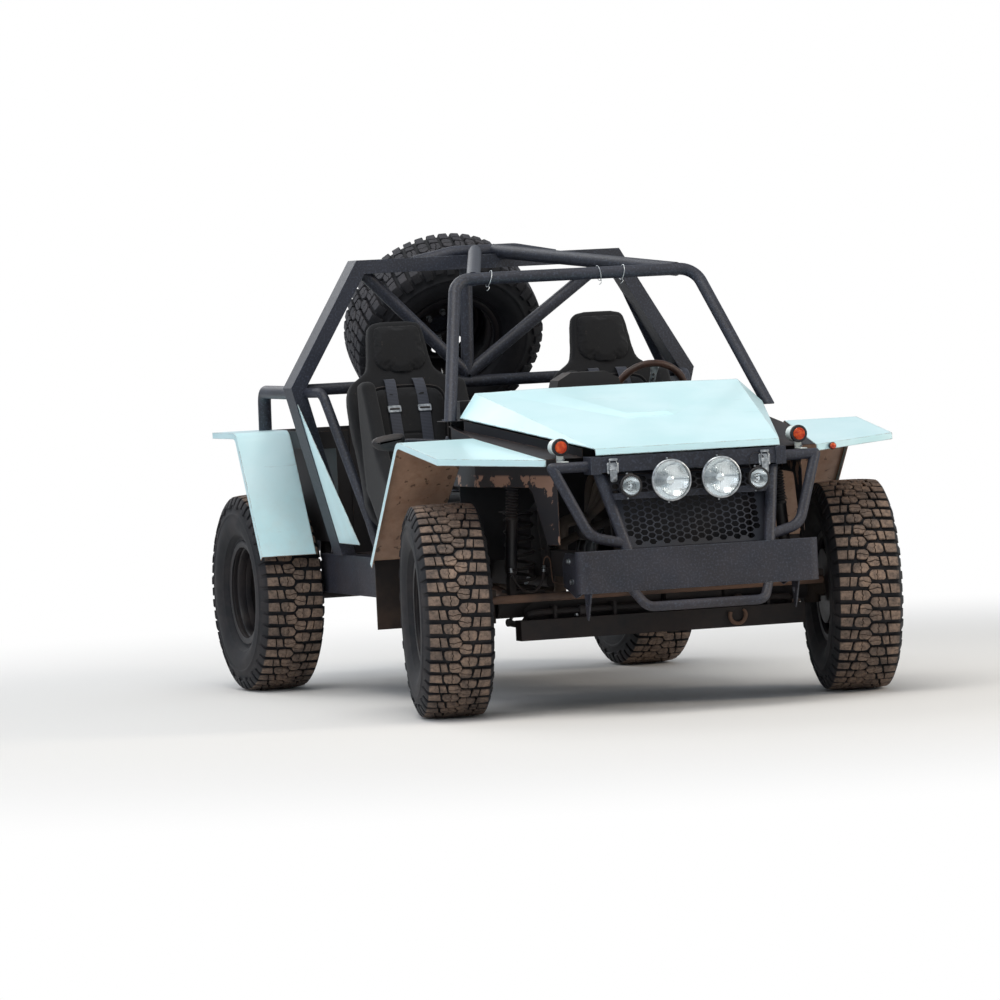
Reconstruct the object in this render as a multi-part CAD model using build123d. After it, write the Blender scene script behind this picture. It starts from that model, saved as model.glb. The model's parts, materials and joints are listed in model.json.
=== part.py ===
from build123d import *
import os
from math import atan2, cos, pi, radians, sin, tan

# Dune buggy in millimetres: +X is the driver's side, -Y is forward, Z = 0 is the ground
# "back" in the code below is a distance behind the front axle

# Overall sizes
wheelbase = 2500
track = 1700
nose_reach = 660        # front axle to the face of the lower bar
tail_reach = 560        # rear axle to the back of the tail tube
seat_gap = 0.3          # clearance between pieces that seat on each other

# Wheels and tyres
tyre_radius = 422.5
tyre_width = 290
lug_depth = 16.5
tread_width = 238
bead_height = 34
lug_count = 18
centre_groove = 8
lug_share = 0.6         # part of a pitch that a lug fills
lug_wrap = 57           # how far the lugs reach down the sidewall
rim_seat_radius = 203
rim_lip_radius = 222
rim_width = 196
rim_lip = 6
rim_wall = 6
disc_inset = 52         # wheel plane to the outer face of the disc
disc_thickness = 6
hub_bore_radius = 42
vent_radius = 22
vent_circle = 128
vent_count = 8
nave_reach = 36
drum_radius = 150
drum_depth = 52

# Chassis rails and floor
rail_x = 400
rail_width = 60
rail_height = 100
floor_z = 586
rail_kick = 50
rail_kick_front = 320
rail_kick_rear = 520    # ahead of the rear axle
rail_slope = 140
front_crossbar = -470
crossbar_drop = 20
sheet = 3
tunnel_width = 290
tunnel_height = 150
tunnel_back = 1500
firewall_back = 480
cowl_z = 1160
cowl_half = 700
cowl_front = 346

# Sills
sill_tyre_gap = 7       # from the sills' outer faces to the plane of the tyres' inner faces
sill_width = 78
sill_bottom_z = 420
sill_front = 640
sill_rear = 320         # ahead of the rear axle

# Main hoop
hoop_ahead = 624        # ahead of the rear axle
hoop_depth = 120
hoop_width = 58
hoop_foot_x = 716
hoop_waist_x = 904
hoop_waist_z = 1302
hoop_top_x = 589
hoop_top_z = 1826
hump_x = 276
hump_rise = 34
roof_tube = 58
brace_tube = 45
diagonal_tube = 54
harness_tube = 50
harness_z = 1290
brace_apex_x = -100
brace_apex_z = 1322

# Windscreen frame
screen_tube = 50
screen_foot = (675, 384, 1182)
screen_top = (518, 717, 1724)
screen_bend = 85
roof_start_x = 440
roof_end_x = 40

# Door tubes and side panels
door_tube = 42
door_top_z = 1279
door_bend_x = 812
door_low = (706, 743)
door_low_ahead = 438    # ahead of the main hoop
panel_low_z = 640

# Bonnet
bonnet_front = -513
bonnet_front_x = 384
bonnet_front_z = 1041
bonnet_top = (563, 395, 1266)
bonnet_side = (648, 345, 1172)
bonnet_lip = 26
emboss_tip = (85, -62)  # half-width and back of the raised panel's front edge
emboss_skirt = 26       # how much further its slopes reach than its flat top
emboss_rear_x = 298
emboss_foot_x = 545
emboss_step = 11
emboss_rear_step = 4
hinge_x = 380
hinge_back = 403
hinge_z = 1256
hinge_pin = 12
hinge_ear = 11

# Nose: crossmember, bumper, bars, grille and lamps
beam_x = 395
beam_front = -516
beam_depth = 78
beam_z = 946
beam_height = 62
beam_cap = 12
beam_cap_step = 5
beam_end = 30
bumper_half = 500
bumper_face = -608
bumper_z = 482
bumper_height = 164
bumper_flange = 46
bumper_return = 60
bumper_bend = 45
bumper_plate = 6
upright_tube = 46
upright_low_x = 296
upright_low_back = -583
upright_high_x = 362
ear_tube = 42
ear_top = (549, -469, 972)
ear_bend = (436, -556, 700)
ear_foot_z = 668
lower_bar_tube = 38
lower_bar_z = 420
lower_bar_x = 244
lower_bar_end_x = 284
tow_back = -478
tow_z = 440
tow_hole_radius = 11
lamp_bar_z = 850
lamp_bar_size = 24
big_lamp_x = 104
big_lamp_radius = 82.5
big_lamp_z = 905
lamp_face = -602
big_lamp_depth = 66
small_lamp_x = 266
small_lamp_radius = 45
small_lamp_z = 891
small_lamp_face = -585
small_lamp_depth = 58
lamp_wall = 3
lens_inset = 3
lens_thickness = 6
grille_thickness = 3
mesh_width = 39         # honeycomb cells, point to point across
mesh_height = 26
mesh_web = 4
mesh_border = 9
latch_x = 316
latch_width = 50
indicator_x = 498
indicator_back = -433
indicator_z = 1052
indicator_radius = 32
indicator_length = 62

# Front fenders
fender_sheet = 3
fender_lip = 26
fender_bend = 70
front_fender_plan = [(565, -449), (956, -282), (976, 148), (976, 599), (730, 599), (674, 200)]
front_fender_line = [(-449, 1006), (175, 1096), (599, 599)]

# Rear fenders
rear_fender_inner = 760
rear_fender_outer = 1000
rear_fender_rise = 269              # from the tyre's top to the fender's flat part
rear_fender_foot = (-27.5, 167.5)   # from the tyre's front, at the height of its axle
rear_fender_knee = -140
rear_fender_end = 215
flap_thickness = 8
flap_bottom = 332
flap_inner_x = 740
flap_outer_x = 960
skirt_front_x = 510
skirt_rear_x = 640
wing_front = -412
skirt_bend_back = 200
skirt_low_z = 895
skirt_leg_z = 670

# Rear body, rails and spare wheel
deck_z = 1040
tray_top_z = 1112
rear_wall_x = 680
waist_rail_tube = 57
waist_rail_x = 800
waist_rail_z = 1280
waist_rail_post = 71    # behind the rear axle
waist_post_x = 792
spare_z = 1510
spare_lean = 31.5
spare_ahead = 15        # ahead of the rear axle
spindle_tube = 56
carrier_tube = 42
spindle_length = 185
spindle_flange = 85
carrier_half = 190
carrier_run = 458       # along the tyre's rear face
carrier_bend = 60
carrier_foot = 450      # behind the rear axle
tail_tube = 60
tail_half = 560
tail_z = 590
hitch_hole_radius = 12.5

# Axles, springs and steering
axle_tube = 92
diff_radius = 118
diff_depth = 190
front_diff_x = 150
kingpin_x = 690
knuckle_half = 62
kingpin_tube = 70
arm_length = 190
arm_z = 500
arm_thickness = 24
tie_rod = 32
spring_x = 505
spring_radius = 62
spring_back = 105
spring_low_z = 480
spring_high_z = 790
shock_x_low = 585
shock_x_high = 556
shock_radius = 27
shock_low_z = 540
shock_high_z = 962
link_tube = 44
link_axle_x = 470
link_axle_z = 400
link_rail_x = 402
link_rail_z = 462
front_link_back = 820
rear_link_ahead = 800
steer_rest = -11        # degrees that the front wheels are turned at rest, + towards the driver's side
guard_half = 600
guard_back = -150
guard_depth = 70
guard_low_z = 290
guard_height = 80
column_tube = 34
steering_wheel_x = 362
steering_wheel_back = 905
steering_wheel_z = 1192
steering_wheel_radius = 178
steering_wheel_lean = 24
steering_grip = 15
steering_ratio = 16

# Engine, gearbox and exhaust
engine_half = 190
engine_front = -300
engine_rear = 300
engine_low_z = 660
engine_high_z = 1010
gearbox_end = 1100
gearbox_half = 100
gearbox_low_z = 500
gearbox_high_z = 690
radiator_half = 270
radiator_depth = 60
radiator_top_z = 920
tank_half = 320
tank_back = -405        # from the rear axle
tank_depth = 210
tank_top_z = 900
shaft_tube = 60
exhaust_x = -300
exhaust_z = 446
exhaust_tube = 50
silencer_radius = 58
silencer_length = 450
silencer_ahead = 176    # from its rear end to the main hoop

# Cab
passenger_x = -505
driver_x = 400
seat_half = 250
seat_base_z = 705
seat_length = 470
seat_pad = 70
seat_ahead = 546        # from the backrest's foot to the main hoop
seat_lean = 17
seat_height = 905
dash_half = 600
dash_depth = 116
dash_low_z = 1000
dash_high_z = 1235
mirror_x = 858
mirror_back = 516
mirror_z = 1097

front_axle_y = (nose_reach - wheelbase - tail_reach) / 2
hoop_back = wheelbase - hoop_ahead
spare_back = wheelbase - spare_ahead
seat_back_foot = hoop_back - seat_ahead
sill_outer_x = track / 2 - tyre_width / 2 - sill_tyre_gap
sill_inner_x = sill_outer_x - sill_width
rear_fender_top_z = 2 * tyre_radius + rear_fender_rise
nodes = {}


def at(x, back, z):
    return Vector(x, front_axle_y + back, z)


def keep(name, *shapes):
    nodes[name] = [solid for shape in shapes for solid in shape.solids()]


def mirrored(shape):
    return mirror(shape, about=Plane.YZ)


def fused(*shapes):
    return Part() + list(shapes)


def block(x0, x1, back0, back1, z0, z1):
    middle = at((x0 + x1) / 2, (back0 + back1) / 2, (z0 + z1) / 2)
    return Pos(middle) * Box(abs(x1 - x0), abs(back1 - back0), abs(z1 - z0))


def prism(corners, travel):
    """Flat outline with these corners, carried along a vector."""
    return extrude(make_face(Polyline(*corners, close=True)), amount=travel.length, dir=travel.normalized())


def side_prism(outline, x0, x1):
    """Outline of (back, z) points carried from x0 to x1."""
    return prism([at(x0, back, z) for back, z in outline], Vector(x1 - x0, 0, 0))


def front_prism(outline, back0, back1):
    """Outline of (x, z) points carried from back0 to back1."""
    return prism([at(x, back0, z) for x, z in outline], Vector(0, back1 - back0, 0))


def plan_prism(outline, z0, z1):
    """Outline of (x, back) points carried from z0 to z1."""
    return prism([at(x, back, z0) for x, back in outline], Vector(0, 0, z1 - z0))


def tube(points, diameter, bend=0):
    """Round bar along straight runs, every corner bent to one radius."""
    if len(points) == 2:
        run = points[1] - points[0]
        section = Plane(origin=points[0], z_dir=run) * Circle(diameter / 2)
        return extrude(section, amount=run.length, dir=run.normalized())
    path = FilletPolyline(*points, radius=bend)
    section = Plane(origin=path @ 0, z_dir=path % 0) * Circle(diameter / 2)
    return sweep(section, path=path)


def plate(corners, thickness, towards):
    """Flat sheet that thickens from its corners' plane towards a direction."""
    normal = (corners[1] - corners[0]).cross(corners[2] - corners[0]).normalized()
    if normal.dot(towards) < 0:
        normal = normal * -1
    return prism(corners, normal * thickness)


def across(x0, x1, back, z, radius):
    """Round bar along X."""
    return tube([at(x0, back, z), at(x1, back, z)], 2 * radius)


# Wheels and tyres, each made about the X axis at the origin with its outer side towards +X
def round_bar(radius, x0, x1):
    return extrude(Plane.YZ.offset(x0) * Circle(radius), amount=x1 - x0, dir=(1, 0, 0))


def tyre():
    half = tyre_width / 2
    tread = tread_width / 2
    bead = rim_width / 2 - seat_gap
    stations = [(bead, rim_seat_radius + bead_height), (half, 0.82 * tyre_radius), (tread, tyre_radius - lug_depth)]
    sections = [(-x, radius) for x, radius in stations] + stations[::-1]
    turn = 180 / lug_count
    faces = [Plane.YZ.offset(x) * RegularPolygon(radius, lug_count, major_radius=False, rotation=turn)
             for x, radius in sections]
    carcass = loft(faces, ruled=True)
    half_lug = turn * lug_share
    lug_face = tyre_radius * cos(radians(half_lug))
    lug_half = tyre_radius * sin(radians(half_lug))
    lug_foot = tyre_radius - lug_wrap
    lugs = []
    for side in (-1, 1):
        outline = [(centre_groove / 2, lug_face), (tread, lug_face), (half, lug_foot), (centre_groove / 2, lug_foot)]
        profile = make_face(Polyline(*[Vector(side * x, 0, -radius) for x, radius in outline], close=True))
        lug = extrude(profile, amount=lug_half, dir=(0, 1, 0), both=True)
        stagger = 0.5 if side > 0 else 0
        lugs += [Rot(360 / lug_count * (number + stagger), 0, 0) * lug for number in range(lug_count)]
    bore_face = RegularPolygon(rim_seat_radius + seat_gap, lug_count, major_radius=False)
    bore = extrude(Plane.YZ.offset(-tyre_width) * bore_face, amount=2 * tyre_width, dir=(1, 0, 0))
    return Rot(half_lug, 0, 0) * (fused(carcass, *lugs) - bore)


def rim():
    half = rim_width / 2
    barrel = rim_seat_radius - rim_wall
    disc_out = -disc_inset
    disc_in = disc_out - disc_thickness
    outline = [(-half - rim_lip, rim_lip_radius), (-half, rim_lip_radius), (-half, rim_seat_radius),
               (half, rim_seat_radius), (half, rim_lip_radius), (half + rim_lip, rim_lip_radius),
               (half + rim_lip, barrel), (disc_out, barrel), (disc_out, hub_bore_radius),
               (disc_in, hub_bore_radius), (disc_in, barrel), (-half - rim_lip, barrel)]
    body = revolve(make_face(Polyline(*outline, close=True)), axis=Axis.X)
    vents = Sketch() + [spot * Circle(vent_radius) for spot in PolarLocations(vent_circle, vent_count)]
    return body - extrude(Plane.YZ.offset(disc_in - 1) * vents, amount=disc_thickness + 2, dir=(1, 0, 0))


def hub():
    """Brake drum, hub and nave, seated on the disc's inner face."""
    face = -disc_inset - disc_thickness
    drum = round_bar(drum_radius, face - drum_depth, face)
    nave = round_bar(hub_bore_radius - seat_gap, face - drum_depth, face + disc_thickness + nave_reach)
    return fused(drum, nave)


def steered(shape, side):
    """Turn what a knuckle carries about its kingpin, to its place at rest."""
    pin = Pos(at(side * kingpin_x, 0, 0))
    return pin * Rot(0, 0, steer_rest) * pin.inverse() * shape


tyre_shape = tyre()
rim_shape = rim()
hub_shape = hub()
for place, back in (("front", 0), ("rear", wheelbase)):
    for side, sign, turn in (("left", 1, 0), ("right", -1, 180)):
        spot = Pos(at(sign * track / 2, back, tyre_radius)) * Rot(0, 0, turn)
        pair = [spot * tyre_shape, fused(spot * rim_shape, spot * hub_shape)]
        if place == "front":
            pair = [steered(shape, sign) for shape in pair]
        keep(f"tyre_{place}_{side}", pair[0])
        keep(f"rim_{place}_{side}", pair[1])

# Spare wheel, leaning forward over the seats
spare_spot = Pos(at(0, spare_back, spare_z)) * Rot(spare_lean, 0, 0) * Rot(0, 0, -90)
keep("spare_tyre", spare_spot * tyre_shape)
keep("spare_rim", spare_spot * rim_shape)

# Chassis frame
mid_top = floor_z
end_top = floor_z + rail_kick
kick_rear = wheelbase - rail_kick_rear
rail_end = wheelbase + tail_reach - tail_tube
rail_front = bumper_face + bumper_plate + seat_gap
rail_top = [(rail_front, end_top), (rail_kick_front, end_top), (rail_kick_front + rail_slope, mid_top),
            (kick_rear, mid_top), (kick_rear + rail_slope, end_top), (rail_end, end_top)]
rail_outline = rail_top + [(back, z - rail_height) for back, z in reversed(rail_top)]
rail = side_prism(rail_outline, rail_x - rail_width / 2, rail_x + rail_width / 2)
rail_inside = rail_x - rail_width / 2
crossbars = []
for back, top in ((front_crossbar, end_top), (gearbox_end, mid_top), (hoop_back - 426, mid_top),
                  (wheelbase - 330, end_top), (wheelbase + 330, end_top)):
    crossbars.append(block(-rail_inside, rail_inside, back, back + 60, top - crossbar_drop - 60, top - crossbar_drop))
outriggers = [block(rail_x + rail_width / 2, sill_inner_x, back, back + 50, mid_top - 80, mid_top)
              for back in (700, 1240, hoop_back - 25)]
link_brackets = [block(link_rail_x - 18, link_rail_x + 18, back, back + 40, link_rail_z - 30, mid_top - rail_height)
                 for back in (front_link_back, wheelbase - rear_link_ahead - 40)]
tower_x = rail_x + rail_width / 2 + seat_gap
spring_seat = spring_x + spring_radius
towers = []
for back in (0, wheelbase):
    towers.append(side_prism([(back - 45, end_top - rail_height), (back + spring_back + 55, end_top - rail_height),
                              (back + spring_back + 55, spring_high_z + 6), (back + 30, spring_high_z + 60),
                              (back + 30, shock_high_z + 20), (back - 45, shock_high_z + 20)],
                             tower_x, tower_x + 6))
    towers.append(block(tower_x, spring_seat, back + spring_back - 55, back + spring_back + 55,
                        spring_high_z, spring_high_z + 6))
    towers.append(block(tower_x, shock_x_high + 30, back - 45, back + 30, shock_high_z, shock_high_z + 6))
half_frame = fused(rail, *outriggers, *link_brackets)
keep("chassis_frame", fused(half_frame, mirrored(half_frame), *crossbars))
half_towers = fused(*towers)
keep("shock_towers", half_towers, mirrored(half_towers))

# Sills
sill = block(sill_inner_x, sill_outer_x, sill_front, wheelbase - sill_rear, sill_bottom_z, floor_z)
keep("sills", sill, mirrored(sill))

# Floor, tunnel, firewall, cowl and rear bulkhead
floor_half = sill_inner_x - seat_gap
half_tunnel = tunnel_width / 2
bulkhead_back = hoop_back + hoop_depth / 2 + 4
tub_floor = floor_z + seat_gap
floor_plate = block(-floor_half, floor_half, firewall_back, bulkhead_back, tub_floor, tub_floor + sheet)
tunnel_outline = [(-half_tunnel, tub_floor), (-half_tunnel + 30, tub_floor + tunnel_height),
                  (half_tunnel - 30, tub_floor + tunnel_height), (half_tunnel, tub_floor)]
tunnel_void = [(x * (1 - 2 * sheet / tunnel_width), tub_floor + (z - tub_floor) * (1 - sheet / tunnel_height) - 1)
               for x, z in tunnel_outline]
tunnel_hole = front_prism(tunnel_void, firewall_back - 10, tunnel_back - sheet)
tunnel = front_prism(tunnel_outline, firewall_back, tunnel_back)
wide_half = skirt_rear_x + sheet
firewall = fused(block(-floor_half, floor_half, firewall_back, firewall_back + sheet, tub_floor, cowl_z),
                 block(-wide_half, wide_half, firewall_back, firewall_back + sheet, skirt_low_z, cowl_z))
cowl = block(-cowl_half, cowl_half, cowl_front, firewall_back + sheet, cowl_z - sheet, cowl_z)
bulkhead = block(-floor_half, floor_half, bulkhead_back, bulkhead_back + sheet, tub_floor, harness_z - 60)
scuttle_back = hinge_back + hinge_ear + 1
scuttle_outline = [(-bonnet_side[0] + 20, cowl_z - 1), (-bonnet_top[0] + 12, hinge_z), (bonnet_top[0] - 12, hinge_z),
                   (bonnet_side[0] - 20, cowl_z - 1)]
scuttle = front_prism(scuttle_outline, scuttle_back, scuttle_back + sheet)
pins = [across(side * hinge_x - 24, side * hinge_x + 24, hinge_back, hinge_z, hinge_pin / 2) for side in (-1, 1)]
pin_stands = []
for stand_x in (side * hinge_x + end for side in (-1, 1) for end in (-20, 20)):
    pin_stands.append(across(stand_x - 4, stand_x + 4, hinge_back, hinge_z, hinge_pin / 2 + 2))
    pin_stands.append(block(stand_x - 4, stand_x + 4, hinge_back, scuttle_back + sheet,
                            hinge_z - hinge_pin / 2 - 2, hinge_z + hinge_pin / 2))
keep("floor_tub", fused(floor_plate, tunnel, firewall, cowl, scuttle, *pins, *pin_stands, bulkhead) - tunnel_hole)


# Main hoop: one box-section frame in a plane across the car, with a raised round tube on its top bar
def hoop_block(inset, depth):
    """The hoop's outline, moved inwards by an inset and carried through a depth."""
    slope = (hoop_waist_x - hoop_foot_x) / (hoop_waist_z - floor_z)
    drop = 2 * hoop_width
    half = [(hoop_foot_x - drop * slope, floor_z - drop), (hoop_waist_x, hoop_waist_z), (hoop_top_x, hoop_top_z)]
    outline = half + [(-x, z) for x, z in reversed(half)]
    face = make_face(Polyline(*[at(x, hoop_back, z) for x, z in outline], close=True))
    if inset:
        face = offset(face, amount=-inset, kind=Kind.INTERSECTION)
    return extrude(face, amount=depth / 2, dir=(0, 1, 0), both=True)


def hump(diameter):
    low_z = hoop_top_z - roof_tube / 2 + 8
    return tube([at(-hump_x - 40, hoop_back, low_z), at(-hump_x / 2, hoop_back, low_z + hump_rise),
                 at(hump_x / 2, hoop_back, low_z + hump_rise), at(hump_x + 40, hoop_back, low_z)], diameter, 120)


room = 4000     # reach of the plain blocks that trim other shapes
above_floor = block(-room, room, -room, room, floor_z + seat_gap, room)
hoop_frame = (hoop_block(0, hoop_depth) - hoop_block(hoop_width, 2 * hoop_depth)) & above_floor
keep("main_hoop", fused(hoop_frame, hump(roof_tube)))

# Braces inside the hoop: harness bar, centre post and two diagonals that meet at one apex
apex = at(brace_apex_x, hoop_back, brace_apex_z)
harness_bar = across(-hoop_waist_x, hoop_waist_x, hoop_back, harness_z, harness_tube / 2)
diagonals = [tube([at(side * (hoop_top_x - 20), hoop_back, hoop_top_z - 30), apex], diagonal_tube) for side in (-1, 1)]
centre_post = tube([at(brace_apex_x + 15, hoop_back, hoop_top_z - 10), apex], diagonal_tube)
keep("hoop_braces", fused(harness_bar, *diagonals, centre_post) & hoop_block(hoop_width + seat_gap, hoop_depth))


# Windscreen frame: one bent tube on two foot plates
def other_side(point):
    return Vector(-point.X, point.Y, point.Z)


def screen_bar(diameter):
    foot = at(*screen_foot)
    top = at(*screen_top)
    run = (top - foot).normalized() * 60
    return tube([foot - run, top, other_side(top), other_side(foot - run)], diameter, screen_bend)


above_cowl = block(-room, room, -room, room, cowl_z + seat_gap, room)
foot_plate = block(screen_foot[0] - 22, screen_foot[0] + 24, screen_foot[1] - 20, screen_foot[1] + 40,
                   cowl_z + seat_gap, cowl_z + seat_gap + 6)
keep("windscreen_frame", fused(screen_bar(screen_tube) & above_cowl, foot_plate, mirrored(foot_plate)))

# Roof tubes from the windscreen bar to the hoop's hump
hump_z = hoop_top_z - roof_tube / 2 + 8 + hump_rise
hoop_room = block(-room, room, hoop_back - hoop_depth / 2 - seat_gap, room, 0, hoop_top_z + seat_gap)
roof_room = fused(screen_bar(screen_tube + 2 * seat_gap), hump(roof_tube + 2 * seat_gap), hoop_room)
roof_start = at(roof_start_x, screen_top[1], screen_top[2])
roof_bar = tube([roof_start, at(roof_end_x, hoop_back, hump_z)], roof_tube)
roof_bar = max((roof_bar - roof_room).solids(), key=lambda solid: solid.volume)
keep("roof_tubes", roof_bar, mirrored(roof_bar))

# Door tubes, from the hoop's waist down to the sill, and the side panels between them and the hoop
hoop_front = hoop_back - hoop_depth / 2 - seat_gap
ahead_of_hoop = block(-room, room, -room, hoop_front, floor_z + seat_gap, room)
door_low_back = hoop_back - door_low_ahead
door = tube([at(hoop_waist_x - 62, hoop_back, door_top_z), at(door_bend_x, hoop_front - 140, door_top_z),
             at(door_low[0], door_low_back, door_low[1]), at(sill_outer_x - 30, door_low_back - 70, floor_z - 60)],
            door_tube, 60)
keep("door_tubes", door & ahead_of_hoop, mirrored(door & ahead_of_hoop))
panel = plate([at(hoop_waist_x - 26, hoop_front, door_top_z - 46), at(hoop_foot_x + 8, hoop_front, panel_low_z),
               at(door_low[0] + 34, door_low_back + 40, panel_low_z)], sheet, Vector(1, 0, 0))
keep("side_panels", panel, mirrored(panel))

# Bonnet: a folded sheet with sloping side facets, a raised panel that narrows forward and a front lip
front_corner = at(bonnet_front_x, bonnet_front, bonnet_front_z)
top_corner = at(*bonnet_top)
side_corner = at(*bonnet_side)
lip_corner = at(bonnet_front_x, bonnet_front - 6, bonnet_front_z - bonnet_lip)
bonnet_pitch = atan2(bonnet_top[2] - bonnet_front_z, bonnet_top[1] - bonnet_front)
bonnet_plane = Plane(origin=at(0, bonnet_front, bonnet_front_z), x_dir=(1, 0, 0),
                     z_dir=(0, -sin(bonnet_pitch), cos(bonnet_pitch)))
bonnet_length = (bonnet_top[1] - bonnet_front) / cos(bonnet_pitch)


def below(corners):
    """Everything under the plane of three corners, as far as the trimming blocks reach."""
    normal = (corners[1] - corners[0]).cross(corners[2] - corners[0]).normalized()
    if normal.Z < 0:
        normal = normal * -1
    plane = Plane(origin=corners[0], x_dir=(1, 0, -normal.X / normal.Z), z_dir=normal)
    return plane * Box(room, room, room, align=(Align.CENTER, Align.CENTER, Align.MAX))


def emboss_face(front_x, front_y, rear_x, front_height, rear_height):
    """Four-sided outline over the bonnet's plane, carried on past its rear edge."""
    past = 60 / (bonnet_length - front_y)
    over_x = rear_x + (rear_x - front_x) * past
    over_height = rear_height + (rear_height - front_height) * past
    half = [Vector(front_x, front_y, front_height), Vector(over_x, bonnet_length + 60, over_height)]
    corners = half + [Vector(-point.X, point.Y, point.Z) for point in reversed(half)]
    return make_face(Polyline(*[bonnet_plane.from_local_coords(corner) for corner in corners], close=True))


tip_y = (emboss_tip[1] - bonnet_front) / cos(bonnet_pitch)
emboss_foot = emboss_face(emboss_tip[0] + emboss_skirt, tip_y - emboss_skirt, emboss_foot_x, -1, -1)
emboss_top = emboss_face(emboss_tip[0], tip_y, emboss_rear_x, emboss_step, emboss_rear_step)
bonnet_outline = [(bonnet_front_x, bonnet_front), (bonnet_side[0], bonnet_side[1]), (bonnet_top[0], bonnet_top[1])]
bonnet_outline = bonnet_outline + [(-x, back) for x, back in reversed(bonnet_outline)]
bonnet_block = plan_prism(bonnet_outline, bonnet_front_z - 300, bonnet_top[2] + 200)
facet_side = below([front_corner, side_corner, top_corner])
facet_room = bonnet_block & facet_side & mirrored(facet_side)
bonnet_roof = facet_room & below([front_corner, top_corner, other_side(top_corner)])
bonnet_roof = bonnet_roof + (loft([emboss_foot, emboss_top], ruled=True) & facet_room)
bonnet_skin = bonnet_roof - Pos(0, 0, -sheet / cos(bonnet_pitch)) * bonnet_roof
front_lip = plate([front_corner, lip_corner, other_side(lip_corner), other_side(front_corner)],
                  sheet, Vector(0, 1, 0))
ear_ring = across(hinge_x - 14, hinge_x + 14, hinge_back, hinge_z, hinge_ear)
ear_tab = block(hinge_x - 14, hinge_x + 14, hinge_back - 26, hinge_back, hinge_z - 4, hinge_z + 7)
ear_hole = across(hinge_x - 15, hinge_x + 15, hinge_back, hinge_z, hinge_pin / 2 + seat_gap)
hinge_side = fused(ear_ring, ear_tab) - ear_hole
keep("bonnet", fused(bonnet_skin, front_lip, hinge_side, mirrored(hinge_side)))

# Crossmember above the grille, with a capped block at each end
beam_back = beam_front + beam_depth
beam = block(-beam_x, beam_x, beam_front, beam_back, beam_z, beam_z + beam_height)
cap = block(beam_x - beam_end, beam_x + beam_cap, beam_front - beam_cap_step, beam_back + beam_cap_step,
            beam_z - beam_cap_step, beam_z + beam_height + 2)
keep("nose_crossmember", fused(beam, cap, mirrored(cap)))

# Bumper: flanged plate with wrapped ends, the lower bar under it and the side fins behind it
bumper_rear_back = bumper_face + bumper_return
bumper_plan_line = FilletPolyline(at(-bumper_half, bumper_rear_back, bumper_z), at(-bumper_half, bumper_face, bumper_z),
                                  at(bumper_half, bumper_face, bumper_z), at(bumper_half, bumper_rear_back, bumper_z),
                                  radius=bumper_bend)
bumper_plan = make_face([*bumper_plan_line.edges(), Line(bumper_plan_line @ 1, bumper_plan_line @ 0)])
bumper_top_z = bumper_z + bumper_height
bumper_body = extrude(bumper_plan, amount=bumper_height, dir=(0, 0, 1))
cavity_plan = offset(bumper_plan, amount=-bumper_plate, kind=Kind.INTERSECTION)
cavity = extrude(Pos(0, 0, bumper_plate) * cavity_plan, amount=bumper_height - 2 * bumper_plate, dir=(0, 0, 1))
open_back = block(bumper_plate - bumper_half, bumper_half - bumper_plate, bumper_face + bumper_flange, room,
                  0, bumper_top_z + 1)
low_end = at(lower_bar_end_x, bumper_face + lower_bar_tube / 2 + 2, bumper_z + bumper_plate)
low_corner = at(lower_bar_x, lower_bar_tube / 2 - nose_reach, lower_bar_z)
lower_bar = tube([low_end, low_corner, other_side(low_corner), other_side(low_end)], lower_bar_tube, 48)
lower_bar = lower_bar & block(-room, room, -room, room, 0, bumper_z + bumper_plate / 2)
fin_front = bumper_face + bumper_plate
fin_x = rail_x + rail_width / 2 + seat_gap
fin = side_prism([(fin_front, bumper_top_z - bumper_plate), (-440, bumper_top_z - 40), (-405, 560), (-455, 470),
                  (-470, 380), (-484, 372), (-540, 500), (fin_front, bumper_z + bumper_plate)], fin_x, fin_x + bumper_plate)
tow_hole = across(fin_x - 1, fin_x + bumper_plate + 1, tow_back, tow_z, tow_hole_radius)
fin = fin - tow_hole
keep("bumper", fused(bumper_body - cavity - open_back, lower_bar, fin, mirrored(fin)))

# Bull bar: leaning uprights, bent outer ears and the lamp bar between the uprights
beam_middle = beam_front + beam_depth / 2
upright_low = at(upright_low_x, upright_low_back, bumper_top_z + seat_gap)
upright_high = at(upright_high_x, beam_middle, beam_z - seat_gap)
lean = (upright_high - upright_low).normalized()
upright = tube([upright_low - lean * 20, upright_high + lean * 20], upright_tube)
ear_foot = upright_low + lean * ((ear_foot_z - bumper_top_z) / lean.Z)
ear = tube([ear_foot, at(*ear_bend), at(*ear_top)], ear_tube, 90)
ear_head = tube([at(*ear_top), at(beam_x, beam_middle, ear_top[2])], ear_tube)
ear_knob = Pos(at(*ear_top)) * Sphere(ear_tube / 2)
lamp_share = (lamp_bar_z - bumper_top_z) / (beam_z - bumper_top_z)
lamp_bar_back = upright_low_back + lamp_share * (beam_middle - upright_low_back)
lamp_bar_x = upright_low_x + lamp_share * (upright_high_x - upright_low_x)
lamp_bar_front = lamp_bar_back - lamp_bar_size / 2
lamp_bar = block(-lamp_bar_x, lamp_bar_x, lamp_bar_front, lamp_bar_front + lamp_bar_size,
                 lamp_bar_z - lamp_bar_size / 2, lamp_bar_z + lamp_bar_size / 2)
bars = fused(upright, ear, ear_head, ear_knob)
above_bumper = block(-room, room, -room, room, bumper_top_z + seat_gap, room)
cap_room = block(-beam_x - beam_cap - seat_gap, beam_x + beam_cap + seat_gap, -room, room,
                 beam_z - beam_cap_step - seat_gap, room)
keep("bull_bar", (fused(bars, mirrored(bars), lamp_bar) & above_bumper) - cap_room)

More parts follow.
